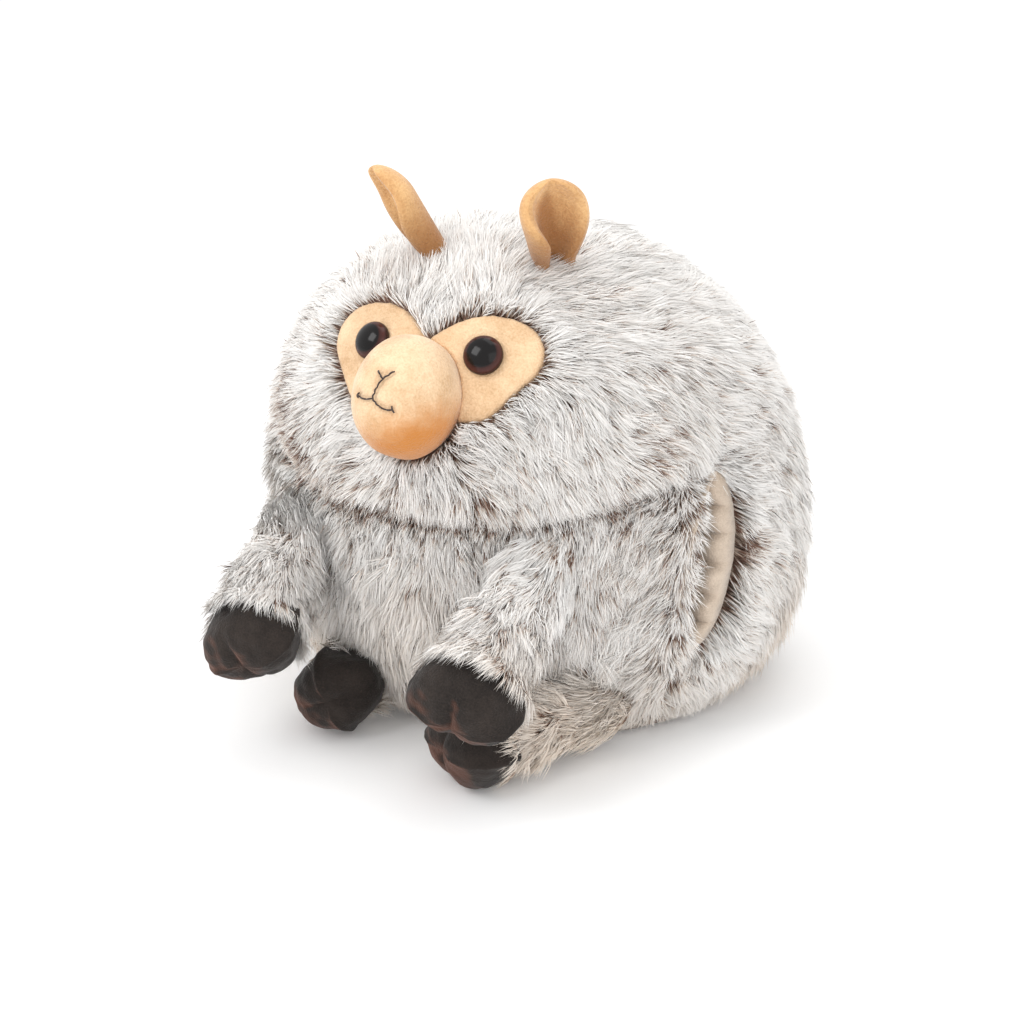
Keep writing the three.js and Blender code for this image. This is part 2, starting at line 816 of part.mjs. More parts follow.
// The leg lies on the floor and swings out about the outer edge of its root.
function legLimb(side, azimuth, toeIn, reach) {
  const root = ballPoint(side * azimuth, legHeight);
  const heading = radians(side * -toeIn);
  const direction = new THREE.Vector3(Math.sin(heading), -Math.cos(heading), 0);
  const turn = THREE.MathUtils.radToDeg(legHingeOut / (ballHalfWidth * widthShare(legHeight)));
  const hingeAzimuth = side * (azimuth + turn);
  const width = new THREE.Vector3().crossVectors(direction, UP);
  const edge = ballPoint(hingeAzimuth, legHeight);
  edge.addScaledVector(ballNormal(hingeAzimuth, legHeight), clearance);
  return {
    reach,
    rootRadius: legRootRadius,
    swellRadius: legSwellRadius,
    wristRadius: legWristRadius,
    frame: limbFrame(root, direction, width),
    hinge: { point: edge, axis: new THREE.Vector3(0, 0, side) },
    swing: legSwing,
  };
}

// Finished pieces

const pileFur = { color: 0xdcdcda, roughness: 0.95, metalness: 0 };
const tanVelour = { color: 0xe6c49c, roughness: 0.85, metalness: 0 };
const earVelour = { color: 0xd9a56c, roughness: 0.85, metalness: 0 };
const hoofVelour = { color: 0x3a3230, roughness: 0.8, metalness: 0 };
const liningCloth = { color: 0xc9b8a4, roughness: 0.8, metalness: 0 };
const fibreFill = { color: 0xf4f4f2, roughness: 1, metalness: 0 };
const glossyPlastic = { color: 0x15100e, roughness: 0.1, metalness: 0 };
const darkThread = { color: 0x35241d, roughness: 0.8, metalness: 0 };

function named(name, solid, look) {
  const mesh = new THREE.Mesh(geometryFrom(solid), new THREE.MeshStandardMaterial(look));
  mesh.name = name;
  return mesh;
}

const SIDES = [
  ["left", 1],
  ["right", -1],
];

function bodyGroup() {
  const group = new THREE.Group();
  const skinBack = ballSolid(pileDepth);
  const filling = ballSolid(pileDepth + clearance);
  const patchSheet = ballSolid(patchInset).subtract(ballSolid(patchBack));
  const shell = ballSolid(0).subtract(skinBack).subtract(tunnelHole);
  const halfGap = clearance / 2;
  const seamPoint = (distance) => chinFront.clone().addScaledVector(chinNormal, distance);
  const upper = shell.intersect(halfSpace(seamPoint(halfGap), chinNormal));
  const lower = shell.intersect(halfSpace(seamPoint(-halfGap), chinNormal.clone().negate()));
  const seatSeam = (distance) => new THREE.Vector3(0, 0, pileDepth + distance);
  const seat = lower.intersect(halfSpace(seatSeam(-halfGap), UP.clone().negate()));
  const round = lower.intersect(halfSpace(seatSeam(halfGap), UP));
  const belly = round.intersect(aheadOfSide(halfGap));
  const back = round.intersect(behindSide(halfGap));

  let head = upper.subtract(muzzleSolid(clearance));
  let stuffing = filling.subtract(tunnelHole);
  const patches = [];
  for (const [label, side] of SIDES) {
    const eyeRoom = eyeSolid(side, clearance).add(washerSolid(side, clearance));
    head = head.subtract(patchPrism(side, clearance));
    stuffing = stuffing.subtract(eyeRoom);
    const patch = patchSheet.intersect(patchPrism(side, 0)).subtract(muzzleSolid(clearance));
    patches.push(named("eye_patch_" + label, largestBody(patch.subtract(eyeRoom)), tanVelour));
    group.add(named("eye_" + label, eyeSolid(side, 0), glossyPlastic));
    group.add(named("eye_washer_" + label, washerSolid(side, 0), glossyPlastic));
  }
  group.add(named("head_panel", largestBody(head), pileFur));
  group.add(named("belly_panel", largestBody(belly), pileFur));
  group.add(named("seat_panel", largestBody(seat), pileFur));
  for (const [label, side] of SIDES) {
    const outward = new THREE.Vector3(side, 0, 0);
    const half = back.intersect(halfSpace(outward.clone().multiplyScalar(halfGap), outward));
    group.add(named("back_panel_" + label, largestBody(half), pileFur));
  }
  group.add(named("body_stuffing", largestBody(stuffing), fibreFill));
  const lining = tunnelLining();
  group.add(named("lining_front", largestBody(lining.front), liningCloth));
  group.add(named("lining_back", largestBody(lining.back), liningCloth));
  group.add(...patches);
  group.add(named("muzzle_cover", muzzleCover(skinBack), tanVelour));
  group.add(named("muzzle_stuffing", muzzleStuffing(skinBack), fibreFill));
  group.add(named("mouth_stitch", mouthStitch(), darkThread));
  return group;
}

function earGroup(label, side, ball) {
  const group = new THREE.Group();
  const hinge = earHinge(side);
  const half = clearance / 2;
  const outer = earLayerSolid(side, -earLayer - half, -half);
  const inner = earLayerSolid(side, half, earLayer + half);
  group.add(named("ear_outer_" + label, clearedForSwing(outer, ball, hinge, earSwing), earVelour));
  group.add(named("ear_inner_" + label, clearedForSwing(inner, ball, hinge, earSwing), tanVelour));
  group.userData = { joint: "ear_" + label, point: hinge.point, axis: hinge.axis };
  return group;
}

function limbGroup(kind, label, limb, ball) {
  const group = new THREE.Group();
  const { sleeve, hoof, stuffing } = limbPieces(limb, ball);
  group.add(named(kind + "_sleeve_" + label, sleeve, pileFur));
  group.add(named(kind + "_hoof_" + label, hoof, hoofVelour));
  group.add(named(kind + "_stuffing_" + label, stuffing, fibreFill));
  group.userData = { joint: kind + "_" + label, point: limb.hinge.point, axis: limb.hinge.axis };
  return group;
}

const handWarmer = new THREE.Group();
const keepOut = ballSolid(-clearance);
handWarmer.add(bodyGroup());
for (const [label, side] of SIDES) handWarmer.add(earGroup(label, side, keepOut));
const limbs = [
  ["arm", "left", armLimb(1, leftArmAzimuth, leftArmToeIn)],
  ["arm", "right", armLimb(-1, rightArmAzimuth, rightArmToeIn)],
  ["leg", "left", legLimb(1, leftLegAzimuth, leftLegToeIn, leftLegReach)],
  ["leg", "right", legLimb(-1, rightLegAzimuth, rightLegToeIn, rightLegReach)],
];
for (const [kind, label, limb] of limbs) handWarmer.add(limbGroup(kind, label, limb, keepOut));

export default handWarmer;
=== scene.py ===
import math
import bpy
import numpy as np
from mathutils import Matrix, Vector, bvhtree, kdtree


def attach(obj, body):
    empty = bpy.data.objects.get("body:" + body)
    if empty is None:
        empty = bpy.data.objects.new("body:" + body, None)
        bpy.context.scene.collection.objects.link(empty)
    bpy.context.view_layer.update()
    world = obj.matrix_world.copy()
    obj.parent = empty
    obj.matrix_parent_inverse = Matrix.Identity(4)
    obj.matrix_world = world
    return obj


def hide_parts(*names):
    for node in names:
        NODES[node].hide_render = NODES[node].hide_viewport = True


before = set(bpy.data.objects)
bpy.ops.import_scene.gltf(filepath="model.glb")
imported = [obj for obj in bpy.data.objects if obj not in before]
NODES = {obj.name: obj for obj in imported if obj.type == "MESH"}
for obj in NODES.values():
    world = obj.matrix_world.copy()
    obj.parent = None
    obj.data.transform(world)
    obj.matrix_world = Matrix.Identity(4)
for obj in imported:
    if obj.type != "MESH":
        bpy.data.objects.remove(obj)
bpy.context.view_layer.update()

# Stuffed ball. Five panels of knitted backing, for head, belly, seat and the halves of the back,
# are sewn inside out, turned, and filled with fibre through a gap that is then closed by hand.
# The chin seam draws the ball in, and the pile of the next section hides the backing.

BALL_HALF = (0.148, 0.138)
BALL_WIDEST, BALL_RISE, BALL_FORWARD = 0.081, 0.168, 0.029
CROWN_POWER, SAG_POWER, BALL_SINK = 2.3, 1.75, 0.17253
CHIN_POINT, CHIN_NORMAL = Vector((0, -0.14262, 0.12)), Vector((0, -0.31338, 0.94963))
SIDE_POINT, SIDE_NORMAL = Vector((0, -0.067, 0.098)), Vector((0, 0.99619, -0.08716))
LEFT = Vector((1, 0, 0))
WELD_DISTANCE, BACKING_VOXEL, SEAT_DRAWN_IN = 1e-5, 0.004, 0.93


def select_only(piece):
    bpy.ops.object.select_all(action="DESELECT")
    piece.select_set(True)
    bpy.context.view_layer.objects.active = piece


def edit_all_of(piece):
    """Opens a piece in edit mode, with all of it selected."""
    select_only(piece)
    bpy.ops.object.mode_set(mode="EDIT")
    bpy.ops.mesh.select_all(action="SELECT")


def new_piece(name, data):
    piece = bpy.data.objects.new(name, data)
    bpy.context.scene.collection.objects.link(piece)
    return piece


def copy_of_node(node, name):
    """A new piece with the welded faces of a solid."""
    piece = new_piece(name, NODES[node].data.copy())
    piece.data.materials.clear()
    edit_all_of(piece)
    bpy.ops.mesh.remove_doubles(threshold=WELD_DISTANCE)
    bpy.ops.object.mode_set(mode="OBJECT")
    return piece


def apply_modifier(piece, kind, **settings):
    select_only(piece)
    modifier = piece.modifiers.new(kind, kind)
    for name, value in settings.items():
        setattr(modifier, name, value)
    bpy.ops.object.modifier_apply(modifier=modifier.name)


def soften(piece, voxel, swell, rounds):
    """Rebuilds a faceted solid as evenly stuffed cloth."""
    apply_modifier(piece, "REMESH", mode="VOXEL", voxel_size=voxel)
    apply_modifier(piece, "SMOOTH", factor=0.5, iterations=rounds)
    apply_modifier(piece, "DISPLACE", strength=swell, mid_level=0.0)
    bpy.ops.object.shade_smooth()


def vertex_rows(mesh, what="co"):
    """The places, or the normals, of a mesh's vertices, one to a row."""
    rows = np.empty(len(mesh.vertices) * 3)
    mesh.vertices.foreach_get(what, rows)
    return rows.reshape(-1, 3)


def reshape(piece, rule):
    """Moves every vertex to where rule(points) puts it."""
    places = np.asarray(rule(vertex_rows(piece.data)))
    piece.data.vertices.foreach_set("co", places.ravel())
    piece.data.update()


def cut_away(piece, point, normal):
    """Keeps the side of a plane that its normal points away from, and closes the cut."""
    edit_all_of(piece)
    bpy.ops.mesh.bisect(plane_co=point, plane_no=normal, use_fill=True, clear_outer=True)
    bpy.ops.object.mode_set(mode="OBJECT")


def feed(node, *values, **settings):
    """Sets up a node. Its sockets, by name or in their order, take a value or another's output."""
    for name, value in (*settings.items(), *enumerate(values)):
        socket = name if isinstance(name, int) else name.replace("_", " ")
        if isinstance(name, str) and socket not in node.inputs:
            setattr(node, name, value)
        elif isinstance(value, bpy.types.NodeSocket):
            node.id_data.links.new(value, node.inputs[socket])
        else:
            node.inputs[socket].default_value = value
    return node


def node_of(tree, kind, *values, **settings):
    return feed(tree.nodes.new("ShaderNode" + kind), *values, **settings)


def ramp_of(tree, share, stops):
    """The colour between the stops at a share."""
    ramp = node_of(tree, "ValToRGB", share)
    elements = ramp.color_ramp.elements
    while len(elements) < len(stops):
        elements.new(0.5)
    for element, (place, colour) in zip(elements, stops):
        element.position = place
        element.color = (*colour, 1)
    return ramp.outputs["Color"]


def new_material(name, roughness, **sockets):
    """A material whose plain constants sit on the shader's own sockets."""
    material = bpy.data.materials.new(name)
    material.use_nodes = True
    tree = material.node_tree
    return material, tree, feed(tree.nodes["Principled BSDF"], Roughness=roughness, **sockets)


def noise_of(tree, **settings):
    """A noise fixed to the object."""
    place = node_of(tree, "TexCoord").outputs["Object"]
    return node_of(tree, "TexNoise", Vector=place, **settings).outputs["Fac"]


def mottled_material(name, roughness, stops, **noise):
    """Two shades that run into each other in small patches."""
    material, tree, shader = new_material(name, roughness)
    feed(shader, Base_Color=ramp_of(tree, noise_of(tree, **noise), stops))
    return material


BACKING = mottled_material(
    "pile_backing", 0.95, [(0.3, (0.09, 0.06, 0.045)), (0.7, (0.30, 0.23, 0.18))], Scale=260.0, Detail=3.0
)
stuffed_ball = copy_of_node("body_stuffing", "stuffed_ball")
soften(stuffed_ball, voxel=BACKING_VOXEL, swell=0.002, rounds=4)
stuffed_ball.data.materials.append(BACKING)
UNDER_CHIN, AT_BACK = (CHIN_POINT, CHIN_NORMAL), (SIDE_POINT, -SIDE_NORMAL)
panels = {}
for panel, cuts in {
    "head": [(CHIN_POINT, -CHIN_NORMAL)],
    "belly": [UNDER_CHIN, (SIDE_POINT, SIDE_NORMAL)],
    "back_left": [UNDER_CHIN, AT_BACK, (Vector(), -LEFT)],
    "back_right": [UNDER_CHIN, AT_BACK, (Vector(), LEFT)],
}.items():
    panels[panel] = new_piece(panel + "_backing", stuffed_ball.data.copy())
    for point, normal in cuts:
        cut_away(panels[panel], point, normal)
bpy.data.objects.remove(stuffed_ball)
panels["seat"] = copy_of_node("seat_panel", "seat_backing")
soften(panels["seat"], voxel=BACKING_VOXEL, swell=-0.001, rounds=4)
reshape(panels["seat"], lambda points: points * (SEAT_DRAWN_IN, SEAT_DRAWN_IN, 1))
panels["seat"].data.materials.append(BACKING)
NODE_OF_PANEL = {
    "head": "head_panel", "belly": "belly_panel", "seat": "seat_panel",
    "back_left": "back_panel_left", "back_right": "back_panel_right",
}
for panel, piece in panels.items():
    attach(piece, "body")
    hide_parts(NODE_OF_PANEL[panel])
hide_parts("body_stuffing")

# Pile of the panels: crimped fibres about 19 mm long, cream at the root, dark brown in the
# middle and frosted white at the tip. They stand in tufts, are brushed away from the face and
# down the ball, and part along the seams, creases and slots, where the brown shows.

PILE_LENGTH, PILE_ROOT_DEPTH, PILE_LIFT, PILE_TONE = 0.019, 0.0100, 0.44, 0.75
STRANDS_PER_MM2, TUFTS_PER_MM2 = 2.25, 0.10
STRAND_WIDTH, STRAND_LIMIT, SHORTEST_STRAND = 0.00050, 65000, 0.0070
STRAND_SHARES, STRAND_TAPER = np.array((0.0, 0.55, 1.0)), (1.0, 0.8)
# How far tufts, and the single fibres in them, differ from their neighbours.
TUFT_TURN, TUFT_LENGTH, TUFT_LIFT, TUFT_TONE = 0.22, 0.10, 0.15, 0.07
FIBRE_TURN, FIBRE_LENGTH, FIBRE_TONE, FIBRE_WANDER = 0.20, 0.14, 0.15, 0.0013
DARK_TUFTS, DARK_TUFT_TONE, GATHERED, TUFT_SPREAD = 0.15, 0.32, 0.45, 0.35
FLOOR_GAP, FLOOR_BEND = 0.0008, 0.006
# The pile's map: steps of painted warm shade side by side, with the tone inside each.
LIGHTEST_TONE, TONE_GAIN, TONE_SHIFT = 1.4, 0.62, -0.328
PAINTED_SHADE_STEPS, MAP_MARGIN, PAINTED_SHADE_AT_FLOOR, PAINTED_SHADE_FALL = 5, 0.02, 0.80, 7.0
# How much the pile is raised, rooted shallower and trimmed, at each feature.
CHIN_RUFFLE, CREASE_RUFFLE = (0.35, 0.55, 0.40), (0.20, 0.35, 0.40)
CLOTH_RUFFLE, BACK_COMBED = (0.22, 0.75, 0.40), (-0.20, 0.40, 0)
SLOT_RUFFLE = {"rear": (0.34, 0.35, 0.18), "front": (0.16, 0.35, 0.34)}
SLOT_EDGE, SLOT_STRAIGHT, CHIN_DARKEST_X = 0.010, 0.040, 0.015
FACE_MIDDLE = np.array((0, -0.125, 0.19))
# Places where the tone changes, by how much, and how far round them.
TONE_SPOTS = {
    "brow": ((0, -0.09, 0.235), 0.10, 0.06),
    "parting behind the slot": ((0.1374, -0.0535, 0.1049), -0.55, 0.009),
    "knot above the slot": ((0.1048, -0.0901, 0.1696), -0.40, 0.012),
    "flank": ((0.112, -0.094, 0.098), -0.30, 0.050),
}
CHEEK_CREASE = np.array(
    ((-0.0935, -0.1037, 0.1656), (-0.0734, -0.1233, 0.1398), (-0.0403, -0.1371, 0.1232))
)
SLOPE_STEP = 2e-4
random = np.random.default_rng(7)


def unit(vectors):
    return vectors / (np.linalg.norm(vectors, axis=-1, keepdims=True) + 1e-12)


def ripple(points, size, seed):
    """Smooth waves from about -1 to 1, the same for the same place."""
    waves = np.random.default_rng(seed)
    total = np.zeros(len(points))
    for _ in range(7):
        heading = unit(waves.normal(size=3)) * waves.uniform(0.6, 1.5) * 2 * math.pi / size
        total += np.sin(points @ heading + waves.uniform(0, 2 * math.pi))
    return total / 3.2


def ball_girth(z):
    """The ball's width at a height, against its widest, and how far it leans forward there."""
    upper = z >= BALL_WIDEST
    share = np.abs(z - BALL_WIDEST) / np.where(upper, BALL_RISE, BALL_SINK)
    power = np.where(upper, CROWN_POWER, SAG_POWER)
    width = (1 - np.clip(share, 0, 0.9995) ** power) ** (1 / power)
    return width, BALL_FORWARD * np.maximum(0, (z - BALL_WIDEST) / BALL_RISE)


def ball_level(points):
    """1 at the outside of the pile, and less within."""
    x, y, z = points.T
    width, forward = ball_girth(z)
    return np.hypot(x / BALL_HALF[0], (y + forward) / BALL_HALF[1]) / width


def ball_slope(points):
    """How much the level changes over two steps, along each axis."""
    steps = SLOPE_STEP * np.eye(3)
    return np.stack([ball_level(points + step) - ball_level(points - step) for step in steps], -1)


def ball_normal(points):
    return unit(ball_slope(points))


def node_triangles(node):
    mesh = NODES[node].data
    mesh.calc_loop_triangles()
    corners = np.empty(len(mesh.loop_triangles) * 3, dtype=np.int32)
    mesh.loop_triangles.foreach_get("vertices", corners)
    return vertex_rows(mesh)[corners.reshape(-1, 3)]


def outer_triangles(node, outward, least=0.55):
    """The faces of a solid that look the way outward(points) does."""
    triangles = node_triangles(node)
    facing = unit(np.cross(triangles[:, 1] - triangles[:, 0], triangles[:, 2] - triangles[:, 0]))
    return triangles[(facing * outward(triangles.mean(1))).sum(1) > least]


def scatter(triangles):
    """Random points, spread evenly over the triangles."""
    sides = triangles[:, 1:] - triangles[:, :1]
    areas = np.linalg.norm(np.cross(sides[:, 0], sides[:, 1]), axis=1) / 2
    count = int(areas.sum() * 1e6 * STRANDS_PER_MM2)
    chosen = random.choice(len(triangles), count, p=areas / areas.sum())
    a, b = random.random((2, count, 1))
    fold = (a + b) > 1
    a, b = np.where(fold, 1 - a, a), np.where(fold, 1 - b, b)
    return triangles[chosen, 0] + a * sides[chosen, 0] + b * sides[chosen, 1]


def flat_to(vectors, normals):
    """The part of each vector that lies in the surface."""
    return unit(vectors - (vectors * normals).sum(1, keepdims=True) * normals)


def turned(vectors, normals, angles):
    angles = angles[:, None]
    return vectors * np.cos(angles) + np.cross(normals, vectors) * np.sin(angles)


def strand_curve(roots, normals, lay, length, lift, share):
    """Where a fibre is at one share of its length: up out of the root, then over with the lay."""
    rise = lift * (1.75 * share - 0.75 * share**2)
    run = np.sqrt(1 - np.minimum(lift, 0.95) ** 2) * share**1.3
    return roots + (length * rise)[:, None] * normals + (length * run)[:, None] * lay


def mesh_from(name, places, faces_of_four, faces_of_three):
    mesh = bpy.data.meshes.new(name)
    loops = np.concatenate([faces_of_four.ravel(), faces_of_three.ravel()])
    sizes = np.repeat((4, 3), (len(faces_of_four), len(faces_of_three)))
    starts = np.cumsum(sizes) - sizes
    mesh.vertices.add(len(places))
    mesh.vertices.foreach_set("co", places.astype(np.float32).ravel())
    mesh.loops.add(len(loops))
    mesh.loops.foreach_set("vertex_index", loops.astype(np.int32))
    mesh.polygons.add(len(sizes))
    mesh.polygons.foreach_set("loop_start", starts.astype(np.int32))
    mesh.polygons.foreach_set("use_smooth", np.ones(len(sizes), dtype=bool))
    mesh.update(calc_edges=True)
    return new_piece(name, mesh)


def paint(piece, layer, u, v=0):
    """Writes one UV point for each vertex."""
    loops = np.empty(len(piece.data.loops), dtype=np.int32)
    piece.data.loops.foreach_get("vertex_index", loops)
    points = np.stack(np.broadcast_arrays(u, v), -1)[loops]
    piece.data.uv_layers.new(name=layer).data.foreach_set("uv", points.astype(np.float32).ravel())


def grow_pile(name, body, roots, normals, lay, length, lift, tone):
    """Gathers the fibres into tufts and builds them as tapered blades."""
    count = len(roots)
    leader_count = int(count * TUFTS_PER_MM2 / STRANDS_PER_MM2)
    leaders = random.choice(count, leader_count, replace=False)
    tree = kdtree.KDTree(leader_count)
    for index, root in enumerate(roots[leaders]):
        tree.insert(root, index)
    tree.balance()
    tuft = np.array([tree.find(root)[1] for root in roots])
    tuft_turn = random.normal(0, TUFT_TURN, leader_count)[tuft]
    tuft_length = random.normal(1, TUFT_LENGTH, leader_count)[tuft]
    tuft_lift = random.normal(1, TUFT_LIFT, leader_count)[tuft]
    tuft_tone = random.normal(0, TUFT_TONE, leader_count)
    tuft_tone -= DARK_TUFT_TONE * (random.random(leader_count) < DARK_TUFTS)
    lay = turned(lay, normals, tuft_turn + random.normal(0, FIBRE_TURN, count))
    length = length * tuft_length * random.normal(1, FIBRE_LENGTH, count)
    lift = np.clip(lift * tuft_lift * random.normal(1, FIBRE_LENGTH, count), 0.05, 0.9)
    guide = leaders[tuft]
    gather = GATHERED * random.uniform(0.7, 1.1, count)
    wander = random.normal(0, 1, (count, 3)) * FIBRE_WANDER
    facing = unit(normals + 0.40 * random.normal(0, 1, (count, 3)))
    curves = []
    for share in STRAND_SHARES:
        own = strand_curve(roots, normals, lay, length, lift, share)
        lead = own[guide] + TUFT_SPREAD * (roots - roots[guide])
        pull = (gather * share**1.5)[:, None]
        curves.append(own * (1 - pull) + lead * pull + wander * share**1.3)
    width = STRAND_WIDTH * random.uniform(0.7, 1.25, count)
    rows = []
    for step, taper in enumerate(STRAND_TAPER):
        across = unit(np.cross(curves[step + 1] - curves[0], facing)) * (width * taper / 2)[:, None]
        rows += [curves[step] - across, curves[step] + across]
    places = np.stack([*rows, curves[2]], 1).reshape(-1, 3)
    bend = FLOOR_BEND - FLOOR_GAP
    bent = FLOOR_GAP + bend * np.exp(np.minimum(places[:, 2] - FLOOR_BEND, 0) / bend)
    places[:, 2] = np.where(places[:, 2] < FLOOR_BEND, bent, places[:, 2])
    first = np.arange(count)[:, None] * 5
    piece = mesh_from(name, places, first + [0, 1, 3, 2], first + [2, 3, 4])
    tone = np.clip(tone + tuft_tone[tuft] + random.normal(0, FIBRE_TONE, count), 0, LIGHTEST_TONE)
    # Painted warm shade: strongest at the floor and fading upwards, put into the map in steps.
    painted_shade = PAINTED_SHADE_AT_FLOOR - PAINTED_SHADE_FALL * roots[:, 2] + 0.20 * ripple(roots, 0.10, 19)
    painted_shade = np.clip(painted_shade, 0, 1)
    painted_shade = painted_shade * painted_shade * (3 - 2 * painted_shade)
    step = np.minimum(np.floor((PAINTED_SHADE_STEPS - 1) * painted_shade + random.random(count)), PAINTED_SHADE_STEPS - 1)
    kept = 1 - 2 * MAP_MARGIN
    place = (step + MAP_MARGIN + kept * tone / LIGHTEST_TONE) / PAINTED_SHADE_STEPS
    shares = STRAND_SHARES[[0, 0, 1, 1, 2]] * kept + MAP_MARGIN
    paint(piece, "OFBake", np.repeat(place, 5), np.tile(shares, count))
    soft = unit(normals + 0.45 * facing + 0.18 * random.normal(0, 1, (count, 3)))
    piece.data.normals_split_custom_set_from_vertices(np.repeat(soft, 5, axis=0).tolist())
    piece.data.materials.append(PILE)
    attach(piece, body)


def own_map(tree, name):
    """The two values of a UV map that the piece was given."""
    place = node_of(tree, "UVMap", uv_map=name)
    return node_of(tree, "SeparateXYZ", place.outputs["UV"]).outputs


def maths(tree, operation, *values):
    return node_of(tree, "Math", *values, operation=operation).outputs["Value"]


def pile_material():
    """Fibre colour by its length (V). U holds steps of painted warm shade, strongest near the floor,
    and inside each step the tone: the brown reaches further up where it is low."""
    material, tree, shader = new_material("frosted_pile", 0.62, Specular_IOR_Level=0.25)
    place = own_map(tree, "OFBake")
    spread = maths(tree, "MULTIPLY", place["X"], PAINTED_SHADE_STEPS)
    gain = TONE_GAIN * LIGHTEST_TONE / (1 - 2 * MAP_MARGIN)
    tone = maths(tree, "MULTIPLY_ADD", maths(tree, "FRACT", spread), gain, TONE_SHIFT)
    painted_shade = maths(tree, "DIVIDE", maths(tree, "FLOOR", spread), PAINTED_SHADE_STEPS - 1)
    colour = ramp_of(
        tree,
        maths(tree, "ADD", place["Y"], tone),
        [
            (0.05, (0.50, 0.39, 0.31)), (0.22, (0.16, 0.082, 0.055)), (0.37, (0.18, 0.100, 0.072)),
            (0.48, (0.57, 0.46, 0.38)), (0.58, (0.86, 0.82, 0.78)), (1.0, (0.91, 0.895, 0.875)),
        ],
    )
    # Painted warm shade near the floor, multiplied in by the step that U holds.
    painted_shade_tint = (0.90, 0.80, 0.70, 1)
    mixed = node_of(tree, "Mix", data_type="RGBA", blend_type="MULTIPLY", Factor=painted_shade, A=colour, B=painted_shade_tint)
    feed(shader, Base_Color=mixed.outputs["Result"])
    return material


def near(distance, reach):
    """1 at a seam, falling to 0 about one reach away."""
    return np.exp(-((distance / reach) ** 2))


def away_from(points, spot):
    return np.linalg.norm(points - spot, axis=1)


def from_line(points, start, end):
    """The way to each point from the nearest spot on a straight crease."""
    run = end - start
    share = np.clip((points - start) @ run / (run @ run), 0, 1)
    return points - start - share[:, None] * run


def slot_offset(points):
    """Signed distance behind the slots' middle line, and how near a point is to a slot."""
    behind = (points - SIDE_POINT) @ np.array(SIDE_NORMAL)
    beyond = np.maximum(0, np.abs(points[:, 2] - SIDE_POINT.z) - SLOT_STRAIGHT)
    return behind, np.hypot(behind, beyond)


def cloth_distance(points):
    """How far each point is from the face patches and the muzzle, and which way."""
    names = ("eye_patch_left", "eye_patch_right", "muzzle_cover")
    corners = np.concatenate([node_triangles(node) for node in names]).reshape(-1, 3)
    faces = np.arange(len(corners)).reshape(-1, 3)
    tree = bvhtree.BVHTree.FromPolygons(corners.tolist(), faces.tolist())
    nearest = [tree.find_nearest(point) for point in points]
    return np.array([hit[3] for hit in nearest]), unit(np.array([hit[0] for hit in nearest]) - points)


def ruffle(standing, where, raised, shallower, shorter):
    """Changes lift, root depth and length of the fibres at a feature."""
    lift, root_depth, length = standing
    lift += raised * where
    root_depth *= 1 - shallower * where
    length *= 1 - shorter * where


